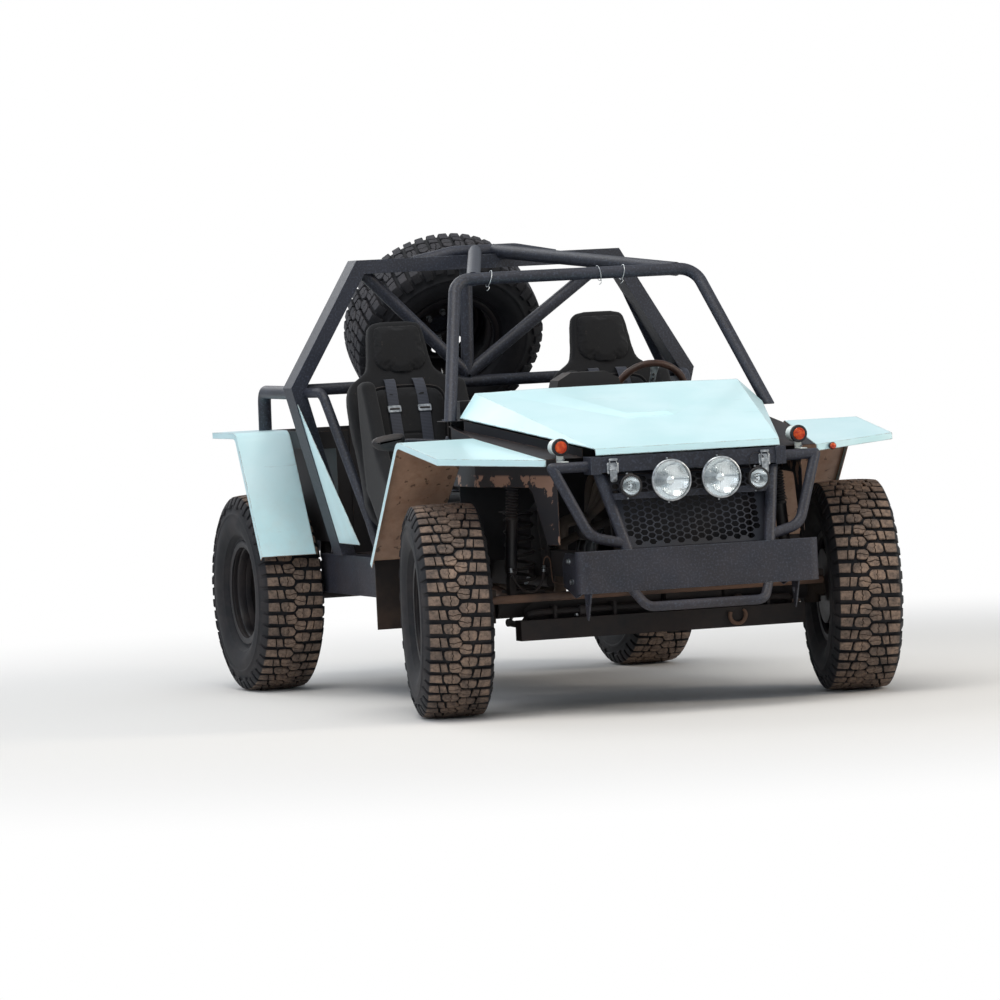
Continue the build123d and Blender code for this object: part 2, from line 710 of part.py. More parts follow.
# Grille: honeycomb plate behind the uprights, leaning with them, on the bumper's top flange
rake = atan2(beam_middle - upright_low_back, beam_z - bumper_top_z)
grille_back = upright_low_back + (upright_tube / 2 + seat_gap) / cos(rake)
grille_low_z = bumper_top_z + seat_gap
grille_top_y = (beam_z - beam_cap_step - seat_gap - grille_low_z) / cos(rake)
grille_low_y = grille_thickness * tan(rake)
grille_plane = Plane(origin=at(0, grille_back, grille_low_z), x_dir=(1, 0, 0), z_dir=(0, -cos(rake), sin(rake)))
grille_widen = (upright_high_x - upright_low_x - 12) / grille_top_y


def mesh_hole(x, y):
    """Six-sided hole with points to the left and right."""
    share = 1 - mesh_web / mesh_height
    half = mesh_width / 2 * share
    high = mesh_height / 2 * share
    corners = [(half, 0), (half / 2, high), (-half / 2, high), (-half, 0), (-half / 2, -high), (half / 2, -high)]
    return Wire(Polyline(*[grille_plane.from_local_coords(Vector(x + u, y + v)) for u, v in corners], close=True).edges())


column_pitch = 0.75 * mesh_width
mesh_holes = []
for column in range(-int(upright_high_x / column_pitch), int(upright_high_x / column_pitch) + 1):
    row_y = grille_low_y + mesh_border + mesh_height / 2 * (1 + column % 2)
    while row_y + mesh_height / 2 + mesh_border < grille_top_y:
        clear_x = upright_low_x + grille_widen * row_y - upright_tube / 2
        if abs(column * column_pitch) + mesh_width / 2 < clear_x:
            mesh_holes.append(mesh_hole(column * column_pitch, row_y))
        row_y += mesh_height
half_edge = [(upright_low_x + grille_widen * y, y) for y in (grille_low_y, grille_top_y)]
grille_edge = half_edge + [(-x, y) for x, y in reversed(half_edge)]
grille_wire = Wire(Polyline(*[grille_plane.from_local_coords(Vector(x, y)) for x, y in grille_edge], close=True).edges())
keep("grille", extrude(Face(grille_wire, mesh_holes), amount=grille_thickness, dir=-grille_plane.z_dir))


# Lamps: open bowls with a glass each, on stays in front of the lamp bar
def lamp(x, face, z, radius, depth):
    outline = [(0, 0), (radius, 0), (radius, -depth * 0.4), (radius * 0.5, -depth), (0, -depth)]
    inner = [(0, 1), (radius - lamp_wall, 1), (radius - lamp_wall, -depth * 0.4),
             (radius * 0.5, -depth + lamp_wall), (0, -depth + lamp_wall)]
    spot = Plane(origin=at(x, face, z), x_dir=(1, 0, 0), z_dir=(0, -1, 0))
    turned = revolve(Plane.XZ * make_face(Polyline(*outline, close=True)), axis=Axis.Z)
    hollow = revolve(Plane.XZ * make_face(Polyline(*inner, close=True)), axis=Axis.Z)
    glass = Pos(0, 0, -lens_inset) * Cylinder(radius - lamp_wall - seat_gap, lens_thickness,
                                              align=(Align.CENTER, Align.CENTER, Align.MAX))
    stay = block(x - 12, x + 12, face + depth - lamp_wall / 2, lamp_bar_front - seat_gap,
                 lamp_bar_z - lamp_bar_size / 2, z)
    return fused(spot * (turned - hollow), stay), spot * glass


lamp_table = ((big_lamp_x, lamp_face, big_lamp_z, big_lamp_radius, big_lamp_depth),
              (small_lamp_x, small_lamp_face, small_lamp_z, small_lamp_radius, small_lamp_depth))
lamps = [lamp(*row) for row in lamp_table]
keep("lamp_cups", *[cup for cup, _ in lamps], *[mirrored(cup) for cup, _ in lamps])
keep("lamp_lenses", *[glass for _, glass in lamps], *[mirrored(glass) for _, glass in lamps])

# Indicators on brackets over the ear heads
spot = Plane(origin=at(indicator_x, indicator_back, indicator_z), x_dir=(1, 0, 0), z_dir=(0, -1, 0))
bracket_z = ear_top[2] + ear_tube / 2 + seat_gap
indicator_cup = fused(spot * Cylinder(indicator_radius, indicator_length, align=(Align.CENTER, Align.CENTER, Align.MAX)),
                      block(indicator_x - 14, indicator_x + 14, indicator_back + 12, indicator_back + 16,
                            bracket_z, indicator_z - indicator_radius + 4),
                      block(indicator_x - 14, indicator_x + 14, ear_top[1] - 12, indicator_back + 16,
                            bracket_z, bracket_z + 4))
amber = spot * Pos(0, 0, seat_gap) * Cylinder(indicator_radius - 8, 12, align=(Align.CENTER, Align.CENTER, Align.MIN))
keep("indicator_cups", indicator_cup, mirrored(indicator_cup))
keep("indicator_lenses", amber, mirrored(amber))

# Toggle latches on the crossmember's face
latch_foot = block(latch_x - latch_width / 2, latch_x + latch_width / 2, beam_front - 8, beam_front - seat_gap,
                   beam_z + 2, beam_z + 42)
latch_lever = block(latch_x - latch_width / 2 + 10, latch_x + latch_width / 2 - 10, beam_front - 15, beam_front - 8,
                    beam_z - 30, beam_z + 60)
latch = fused(latch_foot, latch_lever)
keep("bonnet_latches", latch, mirrored(latch))


# Fenders: bent sheets with a lip turned down along their outer edges
def line_offset(line, depth):
    """A line of three points, moved to its lower side by a depth."""
    start, corner, end = [Vector(back, z) for back, z in line]
    first = (corner - start).normalized()
    second = (end - corner).normalized()
    below_first = Vector(first.Y, -first.X) * depth
    below_second = Vector(second.Y, -second.X) * depth
    turn = atan2(first.cross(second).Z, first.dot(second))
    return [start + below_first, corner + (below_first + below_second) * (1 / (1 + cos(turn))), end + below_second]


def bent_sheet(line, near, far, bend, x0, x1):
    """Everything between two depths under a bent line of (back, z) points."""
    rims = [FilletPolyline(*line_offset(line, depth), radius=bend - depth) for depth in (near, far)]
    ends = [Line(rims[0] @ 0, rims[1] @ 0), Line(rims[0] @ 1, rims[1] @ 1)]
    face = make_face([edge for part in (*rims, *ends) for edge in part.edges()])
    spot = Plane(origin=at(x0, 0, 0), x_dir=(0, 1, 0), z_dir=(1, 0, 0))
    return extrude(spot * face, amount=x1 - x0, dir=(1, 0, 0))


def fender(line, plan, lip_plan):
    """Sheet over a plan outline, open below where the lip's plan allows."""
    x0 = min(x for x, _ in plan) - 1
    x1 = max(x for x, _ in plan) + 1
    body = bent_sheet(line, 0, fender_lip, fender_bend, x0, x1) & plan_prism(plan, 0, 2000)
    inside = bent_sheet(line, fender_sheet, fender_lip + 10, fender_bend, x0, x1) & plan_prism(lip_plan, 0, 2000)
    return body - inside


front_inner, front_outer, outer_side, foot_outer, foot_inner, top_inner = front_fender_plan
front_lip_plan = [(front_inner[0] - 20, front_inner[1] - 5), (front_outer[0] - 3, front_outer[1] + 3.3),
                  (outer_side[0] - 3, outer_side[1]), (foot_outer[0] - 3, foot_outer[1] + 60),
                  (foot_inner[0] - 90, foot_inner[1] + 60), (top_inner[0] - 90, top_inner[1])]
front_fender = fender(front_fender_line, front_fender_plan, front_lip_plan)
keep("front_fenders", front_fender, mirrored(front_fender))

# Rear fenders: the same sheet, made facing backwards about the rear axle and turned round
rear_foot = (-tyre_radius + rear_fender_foot[0], tyre_radius + rear_fender_foot[1])
rear_line = [(-rear_fender_end, rear_fender_top_z), (-rear_fender_knee, rear_fender_top_z), (-rear_foot[0], rear_foot[1])]
rear_plan = [(rear_fender_inner, -rear_fender_end), (rear_fender_outer, -rear_fender_end),
             (rear_fender_outer, -rear_foot[0]), (rear_fender_inner, -rear_foot[0])]
rear_lip_plan = [(rear_fender_inner - 1, fender_sheet - rear_fender_end),
                 (rear_fender_outer - fender_sheet, fender_sheet - rear_fender_end),
                 (rear_fender_outer - fender_sheet, 60 - rear_foot[0]), (rear_fender_inner - 1, 60 - rear_foot[0])]
backwards = Plane.XZ.offset(-front_axle_y)
rear_fender = mirror(fender(rear_line, rear_plan, rear_lip_plan), about=backwards)
rear_fender = Pos(0, wheelbase, 0) * rear_fender
keep("rear_fenders", rear_fender, mirrored(rear_fender))

# Mudflaps behind the front wheels
flap_back = foot_outer[1] - 16
flap_top = front_fender_line[2][1] + 12
flap = block(flap_inner_x, flap_outer_x, flap_back, flap_back + flap_thickness, flap_bottom, flap_top)
flap = flap - bent_sheet(front_fender_line, -20, fender_sheet + seat_gap, fender_bend, 0, 1200)
keep("mudflaps", flap, mirrored(flap))

# Inner wings: a ledge under the fender's inner edge, a riser under the bonnet and a skirt above the axle
ledge_slope = (front_fender_line[1][1] - front_fender_line[0][1]) / (front_fender_line[1][0] - front_fender_line[0][0])


def ledge_z(back):
    return front_fender_line[0][1] + ledge_slope * (back - front_fender_line[0][0]) - fender_sheet - seat_gap - 0.3


wing_rear = firewall_back - seat_gap
bonnet_run = (bonnet_side[0] - bonnet_front_x) / (bonnet_side[1] - bonnet_front)
ledge_plan = [(bonnet_front_x + bonnet_run * (wing_front - bonnet_front) - 16, wing_front),
              (front_inner[0] + 44, wing_front), (top_inner[0] + 2, top_inner[1] - 92),
              (skirt_rear_x + 12, top_inner[1] - 90), (skirt_rear_x + 12, wing_rear), (bonnet_side[0] - 18, wing_rear), (bonnet_side[0] - 18, bonnet_side[1])]
ledge = side_prism([(wing_front, ledge_z(wing_front)), (wing_rear, ledge_z(wing_rear)),
                    (wing_rear, ledge_z(wing_rear) - sheet), (wing_front, ledge_z(wing_front) - sheet)], 0, 1000)
ledge = ledge & plan_prism(ledge_plan, 0, 2000)
riser_plan = [ledge_plan[0], (ledge_plan[0][0] + sheet, wing_front), (bonnet_side[0] - 15, bonnet_side[1]),
              (bonnet_side[0] - 18, bonnet_side[1])]
riser = plan_prism(riser_plan, 0, 2000) & side_prism(
    [(wing_front, ledge_z(wing_front) - 1), (bonnet_side[1], ledge_z(bonnet_side[1]) - 1),
     (bonnet_side[1], bonnet_side[2] - 14), (wing_front, ledge_z(wing_front) + 34)], 0, 1000)
skirt_plan = [(skirt_front_x, wing_front), (skirt_front_x + sheet, wing_front), (skirt_rear_x + sheet, skirt_bend_back),
              (skirt_rear_x + sheet, wing_rear), (skirt_rear_x, wing_rear), (skirt_rear_x, skirt_bend_back)]
skirt = plan_prism(skirt_plan, 0, 2000) & side_prism(
    [(wing_front, skirt_leg_z), (-320, skirt_leg_z), (-227, skirt_low_z - 20), (-200, skirt_low_z), (wing_rear, skirt_low_z),
     (wing_rear, ledge_z(wing_rear) - 1), (wing_front, ledge_z(wing_front) - 1)], 0, 1000)
wing = fused(ledge, riser, skirt)
keep("inner_wings", wing, mirrored(wing))

# Rear body: a shallow load tray between the fenders and the wheel walls below it
tray_half = rear_fender_inner - seat_gap
tray_start = bulkhead_back + sheet + seat_gap
tray_stop = wheelbase + rear_fender_end
tray = block(-tray_half, tray_half, tray_start, tray_stop, deck_z - sheet, tray_top_z)
tray = tray - block(sheet - tray_half, tray_half - sheet, tray_start + sheet, tray_stop - sheet, deck_z, room)
under_tray = block(-rear_wall_x, rear_wall_x, tray_start, tray_stop, end_top + seat_gap, deck_z - sheet)
under_hollow = block(sheet - rear_wall_x, rear_wall_x - sheet, tray_start + sheet, tray_stop - sheet, 0, deck_z - sheet)
keep("rear_body", fused(tray, under_tray - under_hollow))

# Waist rails with their posts, stays behind the hoop and the carrier of the spare wheel
hoop_rear = hoop_back + hoop_depth / 2 + seat_gap
waist_rail = tube([at(hoop_waist_x - 45, hoop_back, waist_rail_z), at(waist_rail_x, wheelbase + waist_rail_post, waist_rail_z),
                   at(waist_post_x, wheelbase + waist_rail_post + 40, deck_z)], waist_rail_tube, 60)
back_stay = tube([at(hoop_top_x - 30, hoop_back, hoop_top_z - 10), at(hoop_waist_x - 55, hoop_rear + 80, waist_rail_z)],
                 brace_tube)
above_fender = block(-room, room, hoop_rear, 2 * room, rear_fender_top_z + seat_gap, room)
waist_side = fused(waist_rail, back_stay) & above_fender
lean_angle = radians(spare_lean)
spare_axis = Vector(0, cos(lean_angle), sin(lean_angle))
spare_middle = at(0, spare_back, spare_z)
spindle_root = spare_middle + spare_axis * spindle_length
spindle_tip = spare_middle + spare_axis * (disc_inset + disc_thickness + seat_gap)
carrier_down = Vector(0, sin(lean_angle), -cos(lean_angle))
spindle = tube([spindle_root, spindle_tip], spindle_tube)
leg_corner = spindle_root + carrier_down * carrier_run + Vector(carrier_half, 0, 0)
leg_foot = at(rail_x, wheelbase + carrier_foot, end_top)
leg = tube([spindle_root, leg_corner, leg_foot], carrier_tube, carrier_bend)
above_rails = block(-room, room, -room, room, end_top + seat_gap, room)
flange = tube([spindle_tip, spindle_tip + spare_axis * 10], 2 * spindle_flange)
carrier = fused(spindle, flange, leg, mirrored(leg)) & above_rails
keep("rear_frame", waist_side, mirrored(waist_side), carrier)

# Tail tube on the rails' rear ends
tail_back = wheelbase + tail_reach - tail_tube / 2
hitch_back = tail_back - 75
tail_bar = across(-tail_half, tail_half, tail_back, tail_z, tail_tube / 2)
tail_plate = block(rail_x - 25, rail_x + 25, rail_end + seat_gap, tail_back, tail_z - 20, tail_z + 20)
hitch = block(-50, 50, tail_back - 110, tail_back, tail_z - 8, tail_z + 8)
hitch_hole = tube([at(0, hitch_back, tail_z - 10), at(0, hitch_back, tail_z + 10)], 2 * hitch_hole_radius)
keep("rear_bumper", fused(tail_bar, tail_plate, mirrored(tail_plate), hitch) - hitch_hole)

# Engine with gearbox, radiator, tank and exhaust
engine = fused(block(-engine_half, engine_half, engine_front, engine_rear, engine_low_z, engine_high_z),
               block(-gearbox_half, gearbox_half, engine_rear, gearbox_end - seat_gap, gearbox_low_z, gearbox_high_z))
keep("engine_block", engine)
crossbar_top = end_top - crossbar_drop
radiator_back = front_crossbar + 30
keep("radiator", block(-radiator_half, radiator_half, radiator_back, radiator_back + radiator_depth,
                       crossbar_top + seat_gap, radiator_top_z))
keep("fuel_tank", block(-tank_half, tank_half, wheelbase + tank_back, wheelbase + tank_back + tank_depth,
                        crossbar_top + seat_gap, tank_top_z))
exhaust_points = [at(-engine_half - seat_gap, 150, engine_low_z + 90), at(exhaust_x, 160, engine_low_z + 80),
                  at(exhaust_x, 230, exhaust_z), at(exhaust_x, hoop_back + 100, exhaust_z)]
pipe = tube(exhaust_points, exhaust_tube, 36)
silencer_end = hoop_back - silencer_ahead
silencer = tube([at(exhaust_x, silencer_end - silencer_length, exhaust_z), at(exhaust_x, silencer_end, exhaust_z)],
                2 * silencer_radius)
keep("exhaust", fused(pipe, silencer) & block(-room, -engine_half - seat_gap, -room, room, 0, room))

# Axles: tube, round differential housing and spring and shock perches
axle_z = tyre_radius
drum_face = track / 2 - disc_inset - disc_thickness - drum_depth


def axle(back, half, diff_x):
    beam_tube = across(-half, half, back, axle_z, axle_tube / 2)
    housing = tube([at(diff_x, back - diff_depth / 2, axle_z), at(diff_x, back + diff_depth / 2, axle_z)], 2 * diff_radius)
    perch = block(spring_x - spring_radius, spring_x + spring_radius, back, back + spring_back + spring_radius,
                  spring_low_z - 12, spring_low_z - seat_gap)
    perch_web = block(spring_x - 10, spring_x + 10, back, back + spring_back, axle_z - 20, spring_low_z - 6)
    shock_post = block(shock_x_low - 14, shock_x_low + 14, back - 30, back + 14, axle_z, shock_low_z - seat_gap)
    side = fused(perch, perch_web, shock_post)
    return fused(beam_tube, housing, side, mirrored(side))


guard = block(-guard_half, guard_half, guard_back, guard_back + guard_depth, guard_low_z, guard_low_z + guard_height)
guard_webs = [block(x - 6, x + 6, guard_back + 10, 0, guard_low_z + guard_height - 20, axle_z) for x in (-450, -200, 450)]
keep("front_axle", fused(axle(0, kingpin_x - kingpin_tube / 2 - seat_gap, front_diff_x), guard, *guard_webs))
keep("rear_axle", axle(wheelbase, drum_face - seat_gap, 0))

# Knuckles: kingpin barrel, stub axle and forward steering arm
for name, side in (("left", 1), ("right", -1)):
    barrel = tube([at(side * kingpin_x, 0, axle_z - knuckle_half), at(side * kingpin_x, 0, axle_z + knuckle_half)], kingpin_tube)
    stub = across(side * kingpin_x, side * (drum_face - seat_gap), 0, axle_z, 40)
    arm = block(side * (kingpin_x - 14), side * (kingpin_x + 14), -arm_length - 16, 0, arm_z - arm_thickness, arm_z)
    riser_block = block(side * (kingpin_x - 14), side * (kingpin_x + 14), -30, 30, axle_z, arm_z)
    keep(f"knuckle_{name}", steered(fused(barrel, stub, arm, riser_block), side))

# Tie rod under the steering arms, moved with their tips
rod_z = arm_z - arm_thickness - seat_gap - tie_rod / 2
steer_angle = radians(steer_rest)
rod_shift = Pos(arm_length * sin(steer_angle), arm_length * (1 - cos(steer_angle)), 0)
keep("tie_rod", rod_shift * across(-kingpin_x - 12, kingpin_x + 12, -arm_length, rod_z, tie_rod / 2))

# Suspension links: radius arms along the car and one panhard rod across each axle
arms = []
for back, bracket in ((0, front_link_back), (wheelbase, wheelbase - rear_link_ahead)):
    towards = 1 if bracket > back else -1
    start = at(link_axle_x, back + towards * 30, link_axle_z)
    end = at(link_rail_x, bracket, link_rail_z)
    arm_bar = tube([start, end], link_tube) - across(0, 700, back, axle_z, axle_tube / 2 + seat_gap)
    span = (back, bracket - seat_gap) if towards > 0 else (bracket + seat_gap, back)
    arms.append(arm_bar & block(0, room, span[0], span[1], 0, room))
keep("suspension_links", *arms, *[mirrored(arm) for arm in arms])

# Propeller shafts between the gearbox and the differentials
shaft_front = tube([at(front_diff_x, diff_depth / 2 + seat_gap, axle_z), at(60, gearbox_end - 400, gearbox_low_z - 20)],
                   shaft_tube)
shaft_rear = tube([at(0, gearbox_end + 80, gearbox_low_z - 50), at(0, wheelbase - diff_depth / 2 - seat_gap, axle_z)],
                  shaft_tube)
shaft_room = block(-room, room, diff_depth / 2 + seat_gap, wheelbase - diff_depth / 2 - seat_gap,
                   0, gearbox_low_z - seat_gap)
keep("prop_shafts", shaft_front & shaft_room, shaft_rear & shaft_room)

# Springs and shock absorbers
springs = []
shocks = []
for back in (0, wheelbase):
    springs.append(tube([at(spring_x, back + spring_back, spring_low_z), at(spring_x, back + spring_back, spring_high_z - seat_gap)],
                        2 * spring_radius))
    shock_low = at(shock_x_low, back - 8, shock_low_z)
    shock_high = at(shock_x_high, back - 8, shock_high_z)
    reach = (shock_high - shock_low).normalized() * 20
    shock = tube([shock_low - reach, shock_high + reach], 2 * shock_radius)
    shocks.append(shock & block(0, room, -room, room, shock_low_z, shock_high_z - seat_gap))
keep("springs", *springs, *[mirrored(spring) for spring in springs])
keep("shocks", *shocks, *[mirrored(shock) for shock in shocks])

# Dash with its instrument pod, steering column and steering wheel
dash_front = firewall_back + sheet + seat_gap
dash_rear = dash_front + dash_depth
dash = side_prism([(dash_front, dash_low_z), (dash_front + 70, dash_low_z), (dash_rear, dash_low_z + 30),
                   (dash_rear, dash_high_z - 25), (dash_rear - 25, dash_high_z), (dash_front, dash_high_z)],
                  -dash_half, dash_half)
pod_outline = [(-180, dash_high_z), (-165, dash_high_z + 60), (-110, dash_high_z + 90), (40, dash_high_z + 90),
               (95, dash_high_z + 60), (110, dash_high_z)]
pod = front_prism(pod_outline, dash_front + 30, dash_rear + 20)
keep("dash_panel", fused(dash, pod))
wheel_lean = radians(steering_wheel_lean)
wheel_middle = at(steering_wheel_x, steering_wheel_back, steering_wheel_z)
wheel_axis = Vector(0, cos(wheel_lean), sin(wheel_lean))
boss_half = 10
column = tube([wheel_middle - wheel_axis * (boss_half + seat_gap), wheel_middle - wheel_axis * 400], column_tube)
keep("steering_column", column & block(-room, room, dash_rear + seat_gap, room, 0, room))
wheel_plane = Plane(origin=wheel_middle, x_dir=(1, 0, 0), z_dir=wheel_axis)
grip_face = Plane.XZ * Pos(steering_wheel_radius - steering_grip, 0) * RegularPolygon(steering_grip, 6)
grip = revolve(grip_face, axis=Axis.Z)
spokes = [Rot(0, 0, angle) * Pos(steering_wheel_radius / 2, 0, 0) * Box(steering_wheel_radius - 20, 30, 5)
          for angle in (0, 180, 270)]
wheel_turn = Rot(0, 0, steering_ratio * steer_rest)
keep("steering_wheel", wheel_plane * wheel_turn * fused(grip, *spokes, Cylinder(38, 2 * boss_half)))

# Flat mirror housings on arms from the cowl
mirror_arm = tube([at(cowl_half - 40, firewall_back - 20, cowl_z - sheet - seat_gap - 8), at(mirror_x, mirror_back, mirror_z)], 16)
mirror_case = block(mirror_x - 20, mirror_x + 120, mirror_back - 14, mirror_back + 22, mirror_z - 12, mirror_z + 12)
keep("mirrors", fused(mirror_arm, mirror_case), mirrored(fused(mirror_arm, mirror_case)))


# Bucket seats on floor plates
def seat(x):
    half_outline = [(0.92, 0), (0.92, 0.35), (1, 0.52), (1, 0.68), (0.55, 0.76), (0.47, 0.97), (0.40, 1)]
    outline = [(u * seat_half, v * seat_height) for u, v in half_outline]
    outline = outline + [(-u, v) for u, v in reversed(outline)]
    lean_plane = Plane(origin=at(x, seat_back_foot, seat_base_z), x_dir=(1, 0, 0),
                       z_dir=(0, -cos(radians(seat_lean)), sin(radians(seat_lean))))
    backrest = lean_plane * extrude(make_face(Polyline(*outline, close=True)), amount=-seat_pad)
    cushion_half = 0.92 * seat_half
    cushion = block(x - cushion_half, x + cushion_half, seat_back_foot - seat_length, seat_back_foot + 20,
                    seat_base_z, seat_base_z + 110)
    bolster = 70
    wings = []
    for side in (-1, 1):
        edge = x + side * cushion_half
        wings.append(side_prism([(seat_back_foot - seat_length, seat_base_z), (seat_back_foot - seat_length, seat_base_z + 150),
                                 (seat_back_foot - 160, seat_base_z + 220), (seat_back_foot + 20, seat_base_z + 600),
                                 (seat_back_foot + 160, seat_base_z + 600), (seat_back_foot + 20, seat_base_z)],
                                edge, edge - side * bolster))
    return fused(backrest, cushion, *wings)


for name, x in (("right", passenger_x), ("left", driver_x)):
    keep(f"seat_{name}", seat(x) & block(-room, room, -room, hoop_back - hoop_depth / 2 - 5, seat_base_z, room))
frames = [block(x + side * 170 - 3, x + side * 170 + 3, seat_back_foot - seat_length + 30, seat_back_foot - 20,
                tub_floor + sheet + seat_gap, seat_base_z - seat_gap)
          for x in (passenger_x, driver_x) for side in (-1, 1)]
keep("seat_frames", *frames)

os.makedirs("parts", exist_ok=True)
for name, solids in nodes.items():
    export_step(Compound(children=solids, label=name), f"parts/{name}.step")
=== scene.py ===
import bpy
import bmesh
import json
from math import cos, exp, pi, radians, sin, tau
from mathutils import Matrix, Vector


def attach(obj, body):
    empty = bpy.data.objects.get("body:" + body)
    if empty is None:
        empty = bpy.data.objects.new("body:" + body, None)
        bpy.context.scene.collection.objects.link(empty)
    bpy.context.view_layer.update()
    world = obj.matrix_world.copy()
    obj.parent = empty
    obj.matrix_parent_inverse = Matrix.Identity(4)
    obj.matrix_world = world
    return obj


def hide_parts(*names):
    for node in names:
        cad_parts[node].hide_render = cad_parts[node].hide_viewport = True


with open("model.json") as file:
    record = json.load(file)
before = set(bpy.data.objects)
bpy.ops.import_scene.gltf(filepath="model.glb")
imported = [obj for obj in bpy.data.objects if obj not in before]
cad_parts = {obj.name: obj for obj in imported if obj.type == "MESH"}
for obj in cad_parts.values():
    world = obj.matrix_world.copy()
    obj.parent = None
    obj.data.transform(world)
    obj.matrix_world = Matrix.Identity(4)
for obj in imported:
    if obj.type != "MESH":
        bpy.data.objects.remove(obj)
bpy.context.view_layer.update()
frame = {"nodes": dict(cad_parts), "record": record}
nodes = frame["nodes"]
print("frame loaded,", len(nodes), "nodes")

mm = 0.001
frontAxleY = -1200      # millimetres, like every size below
steerRest = -11         # degrees that the front wheels are turned at rest


def addObject(name, data):
    piece = bpy.data.objects.new(name, data)
    bpy.context.scene.collection.objects.link(piece)
    return piece


def here(x, back, z):   # back is counted from the front axle
    return Vector((x, frontAxleY + back, z))


def linear(hexColour):      # sRGB hex to linear RGBA
    values = [int(hexColour[i:i + 2], 16) / 255 for i in (1, 3, 5)]
    return [v / 12.92 if v <= 0.04045 else ((v + 0.055) / 1.055) ** 2.4 for v in values] + [1]


def addNode(tree, kind, settings=None, links=None):     # settings go by attribute, socket name or socket number
    node = tree.nodes.new("ShaderNode" + kind)
    if kind == "Mix":
        node.data_type = "RGBA"
    for name, value in (settings or {}).items():
        if name == "stops":     # a ramp's (place, hex or grey) pairs
            elements = node.color_ramp.elements
            while len(elements) < len(value):
                elements.new(0.5)
            for element, (spot, tone) in zip(elements, value):
                element.position = spot
                element.color = linear(tone) if isinstance(tone, str) else (tone, tone, tone, 1)
        elif isinstance(name, str) and hasattr(node, name):
            setattr(node, name, value)
        else:
            node.inputs[name].default_value = linear(value) if isinstance(value, str) else value
    link(node, links or {})
    return node


def link(node, links):      # a linked node gives its first output, a colour mix its third
    for name, source in links.items():
        if isinstance(source, bpy.types.Node):
            source = source.outputs[2 if source.bl_idname == "ShaderNodeMix" else 0]
        node.id_data.links.new(source, node.inputs[name])


def cycles(sizeMm):     # noise scale at which its blobs are about this large
    return 500 / sizeMm


def bandScale(sizeMm):      # wave scale at which its bands are this far apart
    return 314 / sizeMm


def freshMaterial(name, sockets):       # and its tree, its shader and the place of a point on the piece
    material = bpy.data.materials.new(name)
    material.use_nodes = True
    tree = material.node_tree
    shader = tree.nodes["Principled BSDF"]
    for socket, value in {"IOR": 1.5, **sockets}.items():
        shader.inputs[socket].default_value = linear(value) if isinstance(value, str) else value
    return material, tree, shader, addNode(tree, "TexCoord").outputs["Object"]


